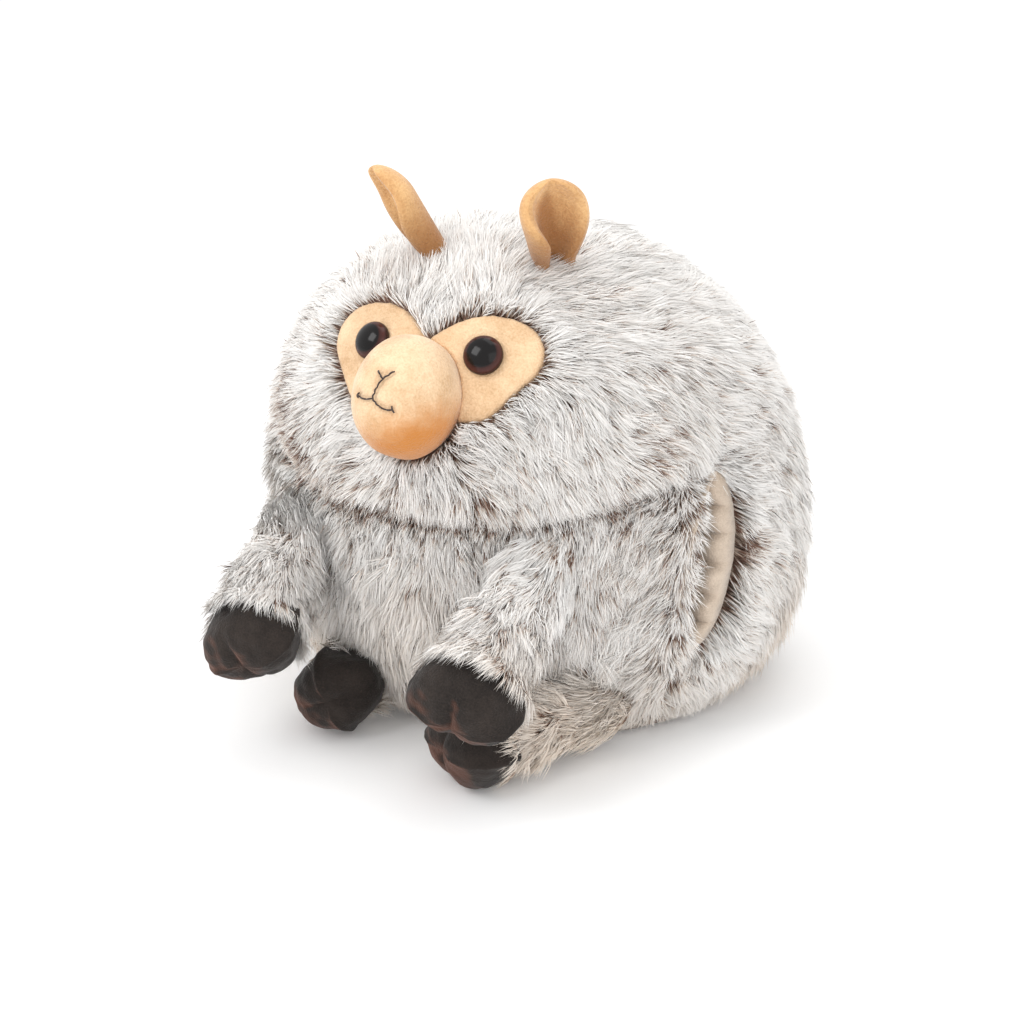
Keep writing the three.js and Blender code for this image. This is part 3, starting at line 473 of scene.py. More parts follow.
PILE = pile_material()
for panel, node in NODE_OF_PANEL.items():
    surface = scatter(outer_triangles(node, ball_normal))
    surface = surface[surface[:, 2] > 0.0012]
    normals = ball_normal(surface)
    on_head = panel == "head"
    forward = np.clip(-surface[:, 1] / 0.06, 0, 1)
    from_chin = (surface - CHIN_POINT) @ np.array(CHIN_NORMAL)
    behind, from_slot = slot_offset(surface)
    beside = np.abs(surface[:, 0]) > 0.09

    lay = unit(surface - FACE_MIDDLE) * on_head + np.array((0, 0.05, -0.5))
    at_edge = near(np.maximum(0, from_slot - SLOT_EDGE - 0.001), 0.005)
    pull = np.where(behind > 0, 1.4 - 1.15 * at_edge, 2.3 * at_edge - 1.4)
    lay = lay + (near(from_slot, 0.030) * beside * pull)[:, None] * np.array((0, 1, 0))
    if on_head:
        from_cloth, way_to_cloth = cloth_distance(surface)
        lay = lay - 1.6 * near(from_cloth, 0.022)[:, None] * way_to_cloth
    lay = flat_to(lay, normals)
    swirl = 0.34 * ripple(surface, 0.075, 11) + 0.30 * ripple(surface, 0.03, 12)
    lay = turned(lay, normals, swirl)

    low = np.clip(1 - surface[:, 2] / 0.06, 0, 1)
    length = PILE_LENGTH * (1 + 0.08 * ripple(surface, 0.05, 13)) * (1 - 0.25 * low)
    lift = PILE_LIFT + 0.05 * ripple(surface, 0.04, 14)
    root_depth = np.full(len(surface), PILE_ROOT_DEPTH)
    standing = (lift, root_depth, length)
    tone = PILE_TONE + 0.08 * ripple(surface, 0.045, 15) + 0.07 * ripple(surface, 0.016, 16)
    # The low fibres get a lower tone, so more brown shows, as painted shade near the floor.
    tone -= 0.08 * near(from_chin - 0.028, 0.035) * on_head * forward + 0.10 * low
    tone += 0.06 * (panel == "belly") * near(surface[:, 0], 0.08) + 0.10 * (1 - forward) * on_head
    for spot, change, reach in TONE_SPOTS.values():
        tone += change * near(away_from(surface, spot), reach)

    from_darkest = surface[:, 0] - CHIN_DARKEST_X
    darkness = np.where(from_darkest < 0, 0.85, 0.30) + 0.6 * near(from_darkest, 0.05)
    band = 0.019 if on_head else 0.003
    tone -= 0.46 * near(from_chin, band) * forward * np.minimum(darkness, 1)
    speckle = near(from_chin - 0.013, 0.009) * near(from_darkest, 0.055) * forward
    tone -= 0.30 * speckle * np.clip(0.4 + ripple(surface, 0.014, 18), 0, 1)
    ruffle(standing, near(from_chin, 0.008) * forward, *CHIN_RUFFLE)

    for edge, there in (("rear", behind > 0), ("front", behind <= 0)):
        ruffle(standing, near(from_slot - SLOT_EDGE, 0.007) * beside * there, *SLOT_RUFFLE[edge])
    lightened = np.where(behind > 0, 0.26, 0.10)
    tone += lightened * near(np.maximum(0, from_slot - SLOT_EDGE), 0.006) * beside
    for start, end in zip(CHEEK_CREASE, CHEEK_CREASE[1:]):
        crease = near(np.linalg.norm(from_line(surface, start, end), axis=1), 0.011)
        tone -= 0.55 * crease
        ruffle(standing, crease, *CREASE_RUFFLE)
    if on_head:
        to_seam = np.maximum(0.25, -(lay @ np.array(CHIN_NORMAL)))
        room = (from_chin - 0.002) / (0.9 * to_seam) + 0.05 * (1 - forward)
        length[:] = np.minimum(length, np.maximum(room, SHORTEST_STRAND))
        at_cloth = near(from_cloth, 0.006)
        ruffle(standing, at_cloth, *CLOTH_RUFFLE)
        tone += at_cloth * (0.24 - 0.30 * np.clip((surface[:, 2] - 0.212) / 0.010, 0, 1))
    ruffle(standing, (1 - forward) * np.clip(normals[:, 2] / 0.6, 0, 1), *BACK_COMBED)

    roots = surface - root_depth[:, None] * normals
    lift *= np.clip(surface[:, 2] / 0.03, 0.25, 1)
    order = np.argsort(np.arctan2(surface[:, 0], -surface[:, 1] - 0.02))
    fibres = (roots, normals, lay, length, lift, tone)
    for number, chunk in enumerate(np.array_split(order, math.ceil(len(order) / STRAND_LIMIT)), 1):
        grow_pile(f"{panel}_pile_{number}", "body", *(values[chunk] for values in fibres))

# Tunnel lining: short beige fleece in two halves, sewn together in the side seams and to the
# edges of the two slots. The cloth is cut longer than the slot, so it gathers into soft pleats.

TUNNEL_HALF_HEIGHT, TUNNEL_MIDDLE, TUNNEL_LEAN = 0.045, (-0.067, 0.098), math.radians(5)
SLOT_HALF, CHAMBER_HALF, TUNNEL_MOUTH, LINING_INSET = 0.011, 0.019, 0.1307, 0.004
PLEAT_PITCH, PLEAT_DEPTH, PLEAT_CREST, PLEAT_WANDER = 0.0145, 0.0095, 0.70, 0.22
HELD_EDGE, HELD_PLEAT, SIDE_SEAM, FLEECE_THICKNESS = 0.06, 0.16, math.radians(88), 0.0018


def nap_group():
    """Short brushed nap: a slow shade where the cloth is stroked, and a fine fuzz in the light."""
    group = bpy.data.node_groups.new("brushed_nap", "ShaderNodeTree")
    for name, way, kind in (
        ("Place", "INPUT", "Vector"),
        ("Fuzz Scale", "INPUT", "Float"),
        ("Height", "INPUT", "Float"),
        ("Shade", "OUTPUT", "Float"),
        ("Normal", "OUTPUT", "Vector"),
    ):
        group.interface.new_socket(name, in_out=way, socket_type="NodeSocket" + kind)
    taken = group.nodes.new("NodeGroupInput").outputs
    strokes = node_of(group, "TexNoise", Vector=taken["Place"], Scale=70.0, Detail=4.0, Roughness=0.6)
    fuzz = node_of(group, "TexNoise", Vector=taken["Place"], Scale=taken["Fuzz Scale"], Detail=2.0)
    fuzz = fuzz.outputs["Fac"]
    shade = maths(group, "MULTIPLY_ADD", fuzz, 0.60, strokes.outputs["Fac"])
    bump = node_of(group, "Bump", Height=fuzz, Distance=taken["Height"], Strength=0.7)
    feed(group.nodes.new("NodeGroupOutput"), Shade=shade, Normal=bump.outputs["Normal"])
    return group


NAP = nap_group()


def velour_material(name, stops, fuzz_scale, height, sheen, painted_light_tint=None, painted_light_share=None):
    """Brushed cloth, whose colour follows its nap. A second colour of painted light (painted shade, sheen
    and bounce light) shows where the last argument's mask puts it.
    """
    material, tree, shader = new_material(
        name, 0.85, Sheen_Weight=sheen, Sheen_Roughness=0.45, Specular_IOR_Level=0.2
    )
    place = node_of(tree, "TexCoord").outputs["Object"]
    nap = node_of(tree, "Group", node_tree=NAP, Place=place, Fuzz_Scale=fuzz_scale, Height=height)
    colour = ramp_of(tree, nap.outputs["Shade"], stops)
    if painted_light_tint:
        mixed = node_of(tree, "Mix", data_type="RGBA", Factor=painted_light_share(tree), A=colour, B=(*painted_light_tint, 1))
        colour = mixed.outputs["Result"]
    feed(shader, Base_Color=colour, Normal=nap.outputs["Normal"])
    return material


def edge_of_ball(y, z, level):
    """How far out to the side the ball's surface is at a depth and height."""
    width, forward = ball_girth(z)
    return BALL_HALF[0] * np.sqrt((level * width) ** 2 - ((y + forward) / BALL_HALF[1]) ** 2)


def lining_place(points, wall, bulge, pleated):
    """Lays a flat square, from -1 to 1 both ways, on one wall of the tunnel."""
    along, turn = points[:, 0], points[:, 1] * SIDE_SEAM
    across = along * TUNNEL_MOUTH
    for _ in range(6):
        inward = np.maximum(0, 1 - (across / TUNNEL_MOUTH) ** 2)
        half = SLOT_HALF + (CHAMBER_HALF - SLOT_HALF) * inward
        low = TUNNEL_HALF_HEIGHT * np.sin(turn)
        out = wall * half * np.cos(turn) ** 1.2
        y = TUNNEL_MIDDLE[0] + out * math.cos(TUNNEL_LEAN) + low * math.sin(TUNNEL_LEAN)
        z = TUNNEL_MIDDLE[1] - out * math.sin(TUNNEL_LEAN) + low * math.cos(TUNNEL_LEAN)
        across = along * edge_of_ball(y, z, 1 - LINING_INSET / BALL_HALF[0])
    phase = (low / PLEAT_PITCH + PLEAT_WANDER * ripple(points, 1.3, 31)) % 1
    pleat = np.sin(math.pi / 2 * np.minimum(phase / PLEAT_CREST, (1 - phase) / (1 - PLEAT_CREST)))
    held = np.clip((1 - np.abs(along)) / HELD_EDGE, 0, 1)
    held = np.sqrt(1 - (1 - held) ** 2)
    puff = bulge * held + PLEAT_DEPTH * pleated * pleat * (HELD_PLEAT + (1 - HELD_PLEAT) * held)
    open_end = 0.2 + 0.8 * np.abs(along) ** 3
    return np.stack([across, y - wall * puff * open_end * np.cos(turn) ** 0.7, z], -1)


def start_from(primitive, name, **sizes):
    """A fresh primitive, with nothing else selected."""
    bpy.ops.object.select_all(action="DESELECT")
    primitive(**sizes)
    bpy.context.object.name = name
    return bpy.context.object


fleece = velour_material(
    "lining_fleece", [(0.35, (0.36, 0.28, 0.21)), (0.95, (0.62, 0.51, 0.41))], 1300.0, 0.0006, 0.3
)
for label, wall, bulge, pleated in (("front", -1, 0.0002, 0.166), ("back", 1, 0.0075, 0.75)):
    half_lining = start_from(
        bpy.ops.mesh.primitive_grid_add, f"lining_{label}_cloth",
        x_subdivisions=110, y_subdivisions=110, size=2,
    )
    reshape(half_lining, lambda points: lining_place(points, wall, bulge, pleated))
    apply_modifier(half_lining, "SOLIDIFY", thickness=FLEECE_THICKNESS, offset=0.0)
    bpy.ops.object.shade_smooth()
    half_lining.data.materials.append(fleece)
    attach(half_lining, "body")
    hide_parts("lining_" + label)

# Eye patches: tan short-pile velour, cut to the cheek and brow, turned in at the edge and sewn to
# the head panel. The filling behind rounds them, and the safety eyes press a shallow dish.

EYE_POINT, EYE_NORMAL = Vector((0.029529, -0.119343, 0.20184)), Vector((0.2143, -0.82237, 0.52705))
PATCH_DEPTH, EYE_DISH, EYE_DISH_REACH = 0.0018, 0.0009, 0.012


def ball_depth(points):
    """How deep each point is under the outside of the pile."""
    return (1 - ball_level(points)) / np.linalg.norm(ball_slope(points) / (2 * SLOPE_STEP), axis=1)


def rounded_patch(points, piece, eye):
    """Brings the front of a patch to one smooth depth, with the dish under its eye."""
    outward = ball_normal(points)
    facing = (outward * vertex_rows(piece.data, "normal")).sum(1)
    front = np.clip((facing - 0.55) / 0.35, 0, 1)
    dish = EYE_DISH * near(away_from(points, eye), EYE_DISH_REACH)
    return points + outward * ((ball_depth(points) - PATCH_DEPTH - dish) * front)[:, None]


tan_velour = velour_material(
    "tan_velour", [(0.45, (0.57, 0.35, 0.18)), (1.0, (0.88, 0.63, 0.40))], 950.0, 0.0010, 0.35
)
for label, side in (("left", 1), ("right", -1)):
    patch = copy_of_node("eye_patch_" + label, f"eye_patch_{label}_cloth")
    soften(patch, voxel=0.0012, swell=0.0004, rounds=10)
    eye = np.array(EYE_POINT) * (side, 1, 1)
    reshape(patch, lambda points: rounded_patch(points, patch, eye))
    apply_modifier(patch, "SMOOTH", factor=0.5, iterations=3)
    patch.data.materials.append(tan_velour)
    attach(patch, "body")
    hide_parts("eye_patch_" + label)

# Safety eyes: one moulding each, a glossy black dome with a chestnut ring near its rim, and a
# ribbed post that goes through the cloth into a nylon lock washer behind it.

EYE_RADIUS, EYE_DOME, EYE_RIM = 0.0095, 0.007, 0.0012
POST_RADIUS, POST_LENGTH, POST_MIDDLE, POST_BEVEL = 0.002, 0.0145, (0, 0, -0.0073), 0.0004


def eye_material():
    """Polished plastic, coloured by the distance from the middle of the dome (U)."""
    material, tree, shader = new_material("eye_plastic", 0.1, Specular_IOR_Level=0.24)
    colour = ramp_of(
        tree,
        own_map(tree, "dome")["X"],
        [
            (0.0, (0.006, 0.005, 0.005)), (0.70, (0.006, 0.005, 0.005)), (0.79, (0.050, 0.016, 0.013)),
            (0.92, (0.075, 0.024, 0.019)), (1.0, (0.022, 0.010, 0.008)),
        ],
    )
    scuffs = noise_of(tree, Scale=420.0, Detail=3.0)
    gloss = node_of(tree, "MapRange", Value=scuffs, To_Min=0.09, To_Max=0.17)
    feed(shader, Base_Color=colour, Roughness=gloss.outputs["Result"])
    return material


def eye_profile(points):
    """Turns a unit ball into dome, rim and flat back."""
    x, y, z = points.T
    front = EYE_RIM + (EYE_DOME - EYE_RIM) * z
    back = EYE_RIM * (1 + np.maximum(z * 4, -1.7))
    return np.stack([x * EYE_RADIUS, y * EYE_RADIUS, np.where(z > 0, front, back)], -1)


eye_plastic = eye_material()
for label, side in (("left", 1), ("right", -1)):
    moulding = start_from(
        bpy.ops.mesh.primitive_uv_sphere_add, f"eye_{label}_moulding",
        segments=64, ring_count=48, radius=1, calc_uvs=False,
    )
    reshape(moulding, eye_profile)
    bpy.ops.object.shade_smooth()
    post = start_from(
        bpy.ops.mesh.primitive_cylinder_add, "post",
        vertices=24, radius=POST_RADIUS, depth=POST_LENGTH, location=POST_MIDDLE, calc_uvs=False,
    )
    edit_all_of(post)
    bpy.ops.mesh.bevel(offset=POST_BEVEL, segments=2)
    bpy.ops.object.mode_set(mode="OBJECT")
    bpy.ops.object.transform_apply(location=True)
    moulding.select_set(True)
    bpy.context.view_layer.objects.active = moulding
    bpy.ops.object.join()
    spots = vertex_rows(moulding.data)
    paint(moulding, "dome", np.hypot(spots[:, 0], spots[:, 1]) / EYE_RADIUS)
    mirrored = Vector((side, 1, 1))
    turn = (EYE_NORMAL * mirrored).to_track_quat("Z", "Y").to_matrix().to_4x4()
    moulding.data.transform(Matrix.Translation(EYE_POINT * mirrored) @ turn)
    moulding.data.update()
    moulding.data.materials.append(eye_plastic)
    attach(moulding, "body")
    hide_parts("eye_" + label)

washer_nylon = mottled_material(
    "washer_nylon", 0.4, [(0.3, (0.55, 0.54, 0.50)), (0.7, (0.72, 0.71, 0.67))], Scale=300.0
)
for label in ("left", "right"):
    NODES["eye_washer_" + label].data.materials.clear()
    NODES["eye_washer_" + label].data.materials.append(washer_nylon)

# Muzzle: an egg of tan velour, filled, and sewn to the patches and the head by its back edge.
# The stitches draw the cloth in, the eyes press into its top, and its underside is orange, partly
# airbrushed into the cloth and partly painted shade and warm bounce light.

MUZZLE_MIDDLE, MUZZLE_HALF = Vector((0, -0.139318, 0.1835)), Vector((0.0245, 0.030, 0.029))
MUZZLE_NARROWING, EYE_PRESS, MUZZLE_SEAT_DEPTH = 0.07, 0.0104, 0.0065
THREAD_DRAW, THREAD_HOLLOW = (0.0011, 0.0022), (0.0005, 0.006)
ORANGE_MIDDLE, ORANGE_START, ORANGE_FULL = (0.014, -0.150, 0.150), 0.053, 0.031
NOSE, LIP = (0.0020, 0.0153), (-0.0014, 0.0066)
THREAD_RUNS = [
    [NOSE, (-0.0017, 0.0184)],
    [NOSE, (0.0062, 0.0186)],
    [NOSE, (0.0000, 0.0116), LIP],
    [LIP, (-0.0050, 0.0056), (-0.0094, 0.0056), (-0.0115, 0.0067)],
    [LIP, (0.0020, 0.0036), (0.0058, 0.0020), (0.0083, 0.0022)],
    [(-0.0106, 0.0074), (-0.0114, 0.0048)],
    [(0.0080, 0.0038), (0.0090, 0.0008)],
]


def muzzle_front(x, z):
    """The front of the muzzle, by the distance across and above its middle."""
    reach = math.sqrt(1 - (x / MUZZLE_HALF.x) ** 2 - (z / MUZZLE_HALF.z) ** 2)
    return MUZZLE_MIDDLE + Vector((x, -MUZZLE_HALF.y * reach, z))


def between(start, end, share):
    return [a + (b - a) * share for a, b in zip(start, end)]


def finer(run, pitch):
    """A thread run with points no further apart than the pitch."""
    points = [run[0]]
    for start, end in zip(run, run[1:]):
        steps = max(1, round(math.dist(start, end) / pitch))
        points += [between(start, end, number / steps) for number in range(1, steps + 1)]
    return points


def muzzle_shape(points):
    """A unit ball as the filled egg, drawn in along the thread and pressed by the eyes."""
    outward = unit(points / np.array(MUZZLE_HALF))
    places = np.array(MUZZLE_MIDDLE) + points * np.array(MUZZLE_HALF)
    places[:, 0] *= 1 - MUZZLE_NARROWING * np.clip(points[:, 2], 0, 1) ** 2
    thread = np.array([muzzle_front(*spot) for run in THREAD_RUNS for spot in finer(run, 0.0008)])
    gap = np.linalg.norm(places[:, None] - thread[None], axis=2).min(1)
    for depth, reach in (THREAD_DRAW, THREAD_HOLLOW):
        places -= outward * (depth * near(gap, reach))[:, None]
    places += outward * (0.0003 * ripple(places, 0.02, 41))[:, None]
    for side in (1, -1):
        eye = np.array(EYE_POINT) * (side, 1, 1)
        distance = away_from(places, eye)[:, None]
        places = eye + (places - eye) * np.maximum(1, EYE_PRESS / distance)
    deep = np.maximum(0, ball_depth(places) - MUZZLE_SEAT_DEPTH)
    return places + ball_normal(places) * deep[:, None]


def smooth_range(tree, value, **ends):
    share = node_of(tree, "MapRange", interpolation_type="SMOOTHSTEP", Value=value, **ends)
    return share.outputs["Result"]


def orange_dye_and_painted_shade(tree):
    """Where the nap turns orange, partly airbrushed dye and partly painted shade and bounce light: under
    the muzzle and at its lower left cheek.
    """
    place = node_of(tree, "TexCoord").outputs["Object"]
    low = node_of(tree, "VectorMath", place, ORANGE_MIDDLE, operation="DISTANCE").outputs["Value"]
    cloud = noise_of(tree, Scale=120.0, Detail=5.0, Roughness=0.7)
    uneven = maths(tree, "MULTIPLY_ADD", cloud, 0.016, low)
    return smooth_range(tree, uneven, From_Min=ORANGE_START, From_Max=ORANGE_FULL)


muzzle = start_from(
    bpy.ops.mesh.primitive_uv_sphere_add, "muzzle", segments=160, ring_count=110, radius=1
)
reshape(muzzle, muzzle_shape)
bpy.ops.object.shade_smooth()
muzzle_velour = velour_material(
    "muzzle_velour",
    [(0.45, (0.58, 0.36, 0.185)), (1.0, (0.90, 0.66, 0.43))],
    950.0, 0.0010, 0.35, painted_light_tint=(0.60, 0.235, 0.055), painted_light_share=orange_dye_and_painted_shade,
)
muzzle.data.materials.append(muzzle_velour)
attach(muzzle, "body")
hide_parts("muzzle_cover", "muzzle_stuffing")

# Nose and mouth: dark brown cotton thread, sewn by hand in separate short stitches, with a small
# tick across each end of the mouth.

THREAD_RADIUS, STITCH_LENGTH, STITCH_HEIGHT, STITCH_POINTS = 0.00045, 0.0030, 0.0009, 5


def thread_material():
    material, tree, shader = new_material("dark_thread", 0.7, Sheen_Weight=0.2)
    place = node_of(tree, "TexCoord").outputs["Object"]
    twist = node_of(tree, "TexWave", Vector=place, Scale=700.0, Distortion=1.5).outputs["Fac"]
    colour = ramp_of(tree, twist, [(0.2, (0.022, 0.012, 0.009)), (0.8, (0.065, 0.036, 0.027))])
    bump = node_of(tree, "Bump", Height=twist, Strength=0.6, Distance=0.0002)
    feed(shader, Base_Color=colour, Normal=bump.outputs["Normal"])
    return material


thread = bpy.data.curves.new("mouth_thread", "CURVE")
thread.dimensions = "3D"
thread.bevel_depth = THREAD_RADIUS
thread.bevel_resolution = 3
thread.use_fill_caps = True
for run in THREAD_RUNS:
    spots = finer(run, STITCH_LENGTH)
    for start, end in zip(spots, spots[1:]):
        stitch = thread.splines.new("POLY")
        stitch.points.add(STITCH_POINTS - 1)
        for number, point in enumerate(stitch.points):
            share = number / (STITCH_POINTS - 1)
            arch = math.sin(math.pi * share)
            lifted = muzzle_front(*between(start, end, share))
            lifted += (lifted - MUZZLE_MIDDLE).normalized() * STITCH_HEIGHT * (arch - 1)
            point.co = (*lifted, 1)
            point.radius = 0.75 + 0.25 * arch
stitches = new_piece("mouth_stitches", thread)
select_only(stitches)
bpy.ops.object.convert(target="MESH")
bpy.ops.object.shade_smooth()
stitches.data.materials.append(thread_material())
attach(stitches, "body")
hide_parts("mouth_stitch")

# Ears: two leaves of tan-orange velour each, sewn round the edge, turned, and pleated at the base,
# where the edge nearer the crown folds right over the other. Painted shade darkens the fold and the
# base inside. The right ear is cut narrower and longer (size: width and length against the pattern).

EARS = {
    "left": {
        "point": (0.0360642, -0.0657084, 0.2417826),
        "axis": (0.7915, 0.6030, 0.0998),
        "lean": (0.1871, -0.3944, 0.8997),
        "side": 1,
        "roll": 0.26,
        "size": (1.0, 1.0),
    },
    "right": {
        "point": (-0.0190341, -0.0752507, 0.2417815),
        "axis": (0.7610, -0.6486, 0.0130),
        "lean": (-0.3369, -0.3780, 0.8623),
        "side": -1,
        "roll": 0.0,
        "size": (0.84, 1.09),
    },
}
EAR_LENGTH, EAR_HALF_WIDTH, EAR_BASE_HALF, EAR_TUCKED = 0.046, 0.0215, 0.015, 0.2
EAR_LAYER, EAR_LAYER_GAP, EAR_TIP_BEND, EAR_RIM_ANGLE = 0.0038, 0.00002, 0.007, math.radians(48)
EAR_FOLD_CURL, EAR_OUTER_CURL, EAR_TIP_CURL = math.radians(165), math.radians(95), math.radians(66)


def ear_half_width(share):
    rise = np.sin(math.pi / 2 * np.clip(share / 0.5, 0, 1))
    rise = EAR_BASE_HALF + (EAR_HALF_WIDTH - EAR_BASE_HALF) * rise
    fall = EAR_HALF_WIDTH * np.sqrt(np.maximum(0, 1 - ((share - 0.5) / 0.5) ** 2))
    return np.where(share < 0.5, rise, fall)


def ear_layer(points, ear, layer):
    """Bends a flat closed square into one leaf; layer is 1 for the inside and -1 for the back."""
    across, thick = points[:, 0], np.abs(points[:, 2]) > 0.5
    share = -EAR_TUCKED + (0.998 + EAR_TUCKED) * ((points[:, 1] + 1) / 2) ** 0.72
    fade = np.clip(share, 0, 1)
    folded = across * ear["side"] < 0
    roll = np.where(folded, ear["roll"], 0)
    width, stretch = ear["size"]
    half = ear_half_width(np.maximum(share, 0)) * (1 + roll * np.sin(math.pi * fade)) * width
    blend = np.clip((fade - roll) / 0.8, 0, 1)
    blend = blend * blend * (3 - 2 * blend)
    base = np.where(folded, EAR_FOLD_CURL, EAR_OUTER_CURL)
    curl = base + (EAR_TIP_CURL - base) * blend
    radius = half / curl
    body = np.sqrt(np.maximum(0, 1 - np.abs(across) ** 6)) * np.sqrt(np.maximum(0, 1 - fade**9))
    reach = radius - layer * np.where(thick, EAR_LAYER * body, EAR_LAYER_GAP)
    inward = radius - reach * np.cos(curl * across)
    inward += EAR_TIP_BEND * np.clip((fade - 0.6) / 0.4, 0, 1) ** 2
    axis, lean = np.array(ear["axis"]), np.array(ear["lean"])
    places = np.array(ear["point"]) + share[:, None] * EAR_LENGTH * stretch * lean
    places = places + (reach * np.sin(curl * across))[:, None] * axis
    return places + inward[:, None] * np.cross(axis, lean)


def ear_shade(tree):
    """Where painted shade darkens the leaf: towards its base (V), and in the fold of the inner leaf."""
    return smooth_range(tree, own_map(tree, "leaf")["Y"], From_Min=0.65, From_Max=0.10, To_Max=0.75)


ear_velour = velour_material(
    "ear_velour",
    [(0.45, (0.50, 0.24, 0.09)), (1.0, (0.80, 0.50, 0.235))],
    900.0, 0.0010, 0.3, painted_light_tint=(0.30, 0.115, 0.035), painted_light_share=ear_shade,
)
for label, ear in EARS.items():
    for node, layer in (("ear_inner_", 1), ("ear_outer_", -1)):
        leaf = start_from(
            bpy.ops.mesh.primitive_grid_add, f"{node}{label}_leaf",
            x_subdivisions=40, y_subdivisions=44, size=2, calc_uvs=False,
        )
        apply_modifier(leaf, "SOLIDIFY", thickness=1.0, offset=1.0)
        across, up, thick = vertex_rows(leaf.data).T
        # Painted shade in the fold at the base of the inner leaf: its V is lowered there, which the ear's
        # shade ramp turns darker.
        painted_fold_shade = near(across + 0.15 * ear["side"], 0.32) * (thick > 0.5) * (layer > 0)
        paint(leaf, "leaf", (across + 1) / 2, (up + 1) / 2 - 0.45 * painted_fold_shade)
        reshape(leaf, lambda points: ear_layer(points, ear, layer))
        edit_all_of(leaf)
        bpy.ops.mesh.normals_make_consistent(inside=False)
        bpy.ops.mesh.faces_shade_smooth()
        bpy.ops.mesh.select_all(action="DESELECT")
        bpy.ops.mesh.select_mode(type="EDGE")
        bpy.ops.mesh.edges_select_sharp(sharpness=EAR_RIM_ANGLE)
        bpy.ops.mesh.mark_sharp()
        bpy.ops.object.mode_set(mode="OBJECT")
        leaf.data.materials.append(ear_velour)
        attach(leaf, "ear_" + label)
        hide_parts(node + label)

# Arms and legs: a filled sleeve of the same pile fabric, sewn into the ball at its root. Each
# sleeve has a crease from which its pile fans out, and its fringe hangs over the hoof. The right
# leg is sewn in twisted, so that its hoof lies on its side.

LIMBS = {
    "arm_left": {
        "root": (0.060043, -0.128854, 0.099),
        "across": (-0.97612, -0.07212, 0.20489),
        "along": (-0.04486, -0.85599, -0.51504),
        "reach": 0.058,
        "crease": ((0.0617, -0.174, 0.0916), (0.0747, -0.178, 0.0746)),
    },
    "arm_right": {
        "root": (-0.0804, -0.118548, 0.099),
        "across": (-0.92311, 0.02357, -0.38382),
        "along": (0.19282, -0.8352, -0.51504),
        "reach": 0.058,
        "crease": ((-0.0605, -0.150, 0.1037), (-0.0805, -0.153, 0.0857)),
    },
    "leg_left": {
        "root": (0.07541, -0.104246, 0.0226),
        "across": (-0.83867, 0.54464, 0),
        "along": (-0.54464, -0.83867, 0),
        "reach": 0.049,
        "crease": ((0.078, -0.134, 0.034), (0.092, -0.124, 0.030)),
    },
    "leg_right": {
        "root": (-0.050518, -0.116587, 0.0226),
        "across": (-0.97815, -0.20791, 0),
        "along": (0.20791, -0.97815, 0),
        "reach": 0.006,
        "crease": ((-0.045, -0.112, 0.040), (-0.052, -0.112, 0.040)),
        "hoof_turn": math.radians(-66),
        "hoof_half": (0.0195, 0.0240),
    },
}
for limb in LIMBS.values():
    limb.update({name: np.array(limb[name]) for name in ("root", "across", "along", "crease")})
SLEEVE_ROOT_DEPTH, SLEEVE_PILE, SLEEVE_TONE = 0.0070, 0.0155, 0.78
SHOULDER_DRAWN, SHOULDER_LENGTH, TUCKED_LENGTH, TUCK = 0.20, 0.028, 0.012, 0.010
FAN = {"arm": 0.75, "leg": 0.40}


def run_along(points, limb):
    """How far out from its root each point is on a limb."""
    return (points - limb["root"]) @ limb["along"]


def from_axis(points, limb):
    """The way out from the middle line of a limb."""
    run = np.clip(run_along(points, limb), 0, limb["reach"])
    return unit(points - limb["root"] - run[:, None] * limb["along"])


def drawn_shoulder(points, limb):
    """Draws the root of a sleeve in, under the ball's pile."""
    run = run_along(points, limb)
    middle = limb["root"] + run[:, None] * limb["along"]
    girth = SHOULDER_DRAWN + (1 - SHOULDER_DRAWN) * np.clip(run / SHOULDER_LENGTH, 0, 1)
    return middle + (points - middle) * girth[:, None]


for body, limb in LIMBS.items():
    kind, label = body.split("_")
    along = limb["along"]
    skin = copy_of_node(f"{kind}_stuffing_{label}", body + "_sleeve_skin")
    soften(skin, voxel=0.0025, swell=0.0015, rounds=4)
    reshape(skin, lambda points: drawn_shoulder(points, limb))
    cut_away(skin, Vector(limb["root"] + along * (limb["reach"] + 0.001)), Vector(along))
    skin.data.materials.append(BACKING)
    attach(skin, body)
    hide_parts(f"{kind}_sleeve_{label}", f"{kind}_stuffing_{label}")
    outward = lambda points: from_axis(points, limb)
    surface = scatter(outer_triangles(f"{kind}_sleeve_{label}", outward, least=0.2))
    surface = surface[ball_level(surface) > 0.95]
    tucked = surface[run_along(surface, limb) < TUCKED_LENGTH] - TUCK * along
    surface = np.concatenate([surface, tucked])
    reach = run_along(surface, limb)
    from_ball = np.clip(reach / 0.024, 0, 1)
    normals = from_axis(surface, limb) * from_ball[:, None]
    normals = unit(normals + ball_normal(surface) * (1 - from_ball)[:, None])
    from_crease = from_line(surface, *limb["crease"])
    gap = np.linalg.norm(from_crease, axis=1)
    fan = FAN[kind]
    lay = flat_to(unit(from_crease) * near(gap, 0.028)[:, None] * fan + along, normals)
    lay = turned(lay, normals, 0.30 * ripple(surface, 0.03, 51))
    tone = SLEEVE_TONE + 0.07 * ripple(surface, 0.02, 52) - 0.16 * fan * near(gap, 0.008)
    tone += 0.55 * (1 - from_ball) ** 2
    length = SLEEVE_PILE * (1 + 0.08 * ripple(surface, 0.03, 53))
    lift = PILE_LIFT + 0.05 * ripple(surface, 0.03, 54)
    lift *= np.clip(surface[:, 2] / 0.02, 0.25, 1)
    root_depth = SLEEVE_ROOT_DEPTH * np.clip((limb["reach"] - reach) / 0.012, 0.1, 1)
    roots = surface - root_depth[:, None] * normals
    grow_pile(body + "_sleeve_pile", body, roots, normals, lay, length, lift, tone)

# Hooves: pouches of dark grey-brown velour in an upper and a lower half, sewn all round so that
# the seam stands out in two corners, filled, with a cleft pulled into the toe by a thread.

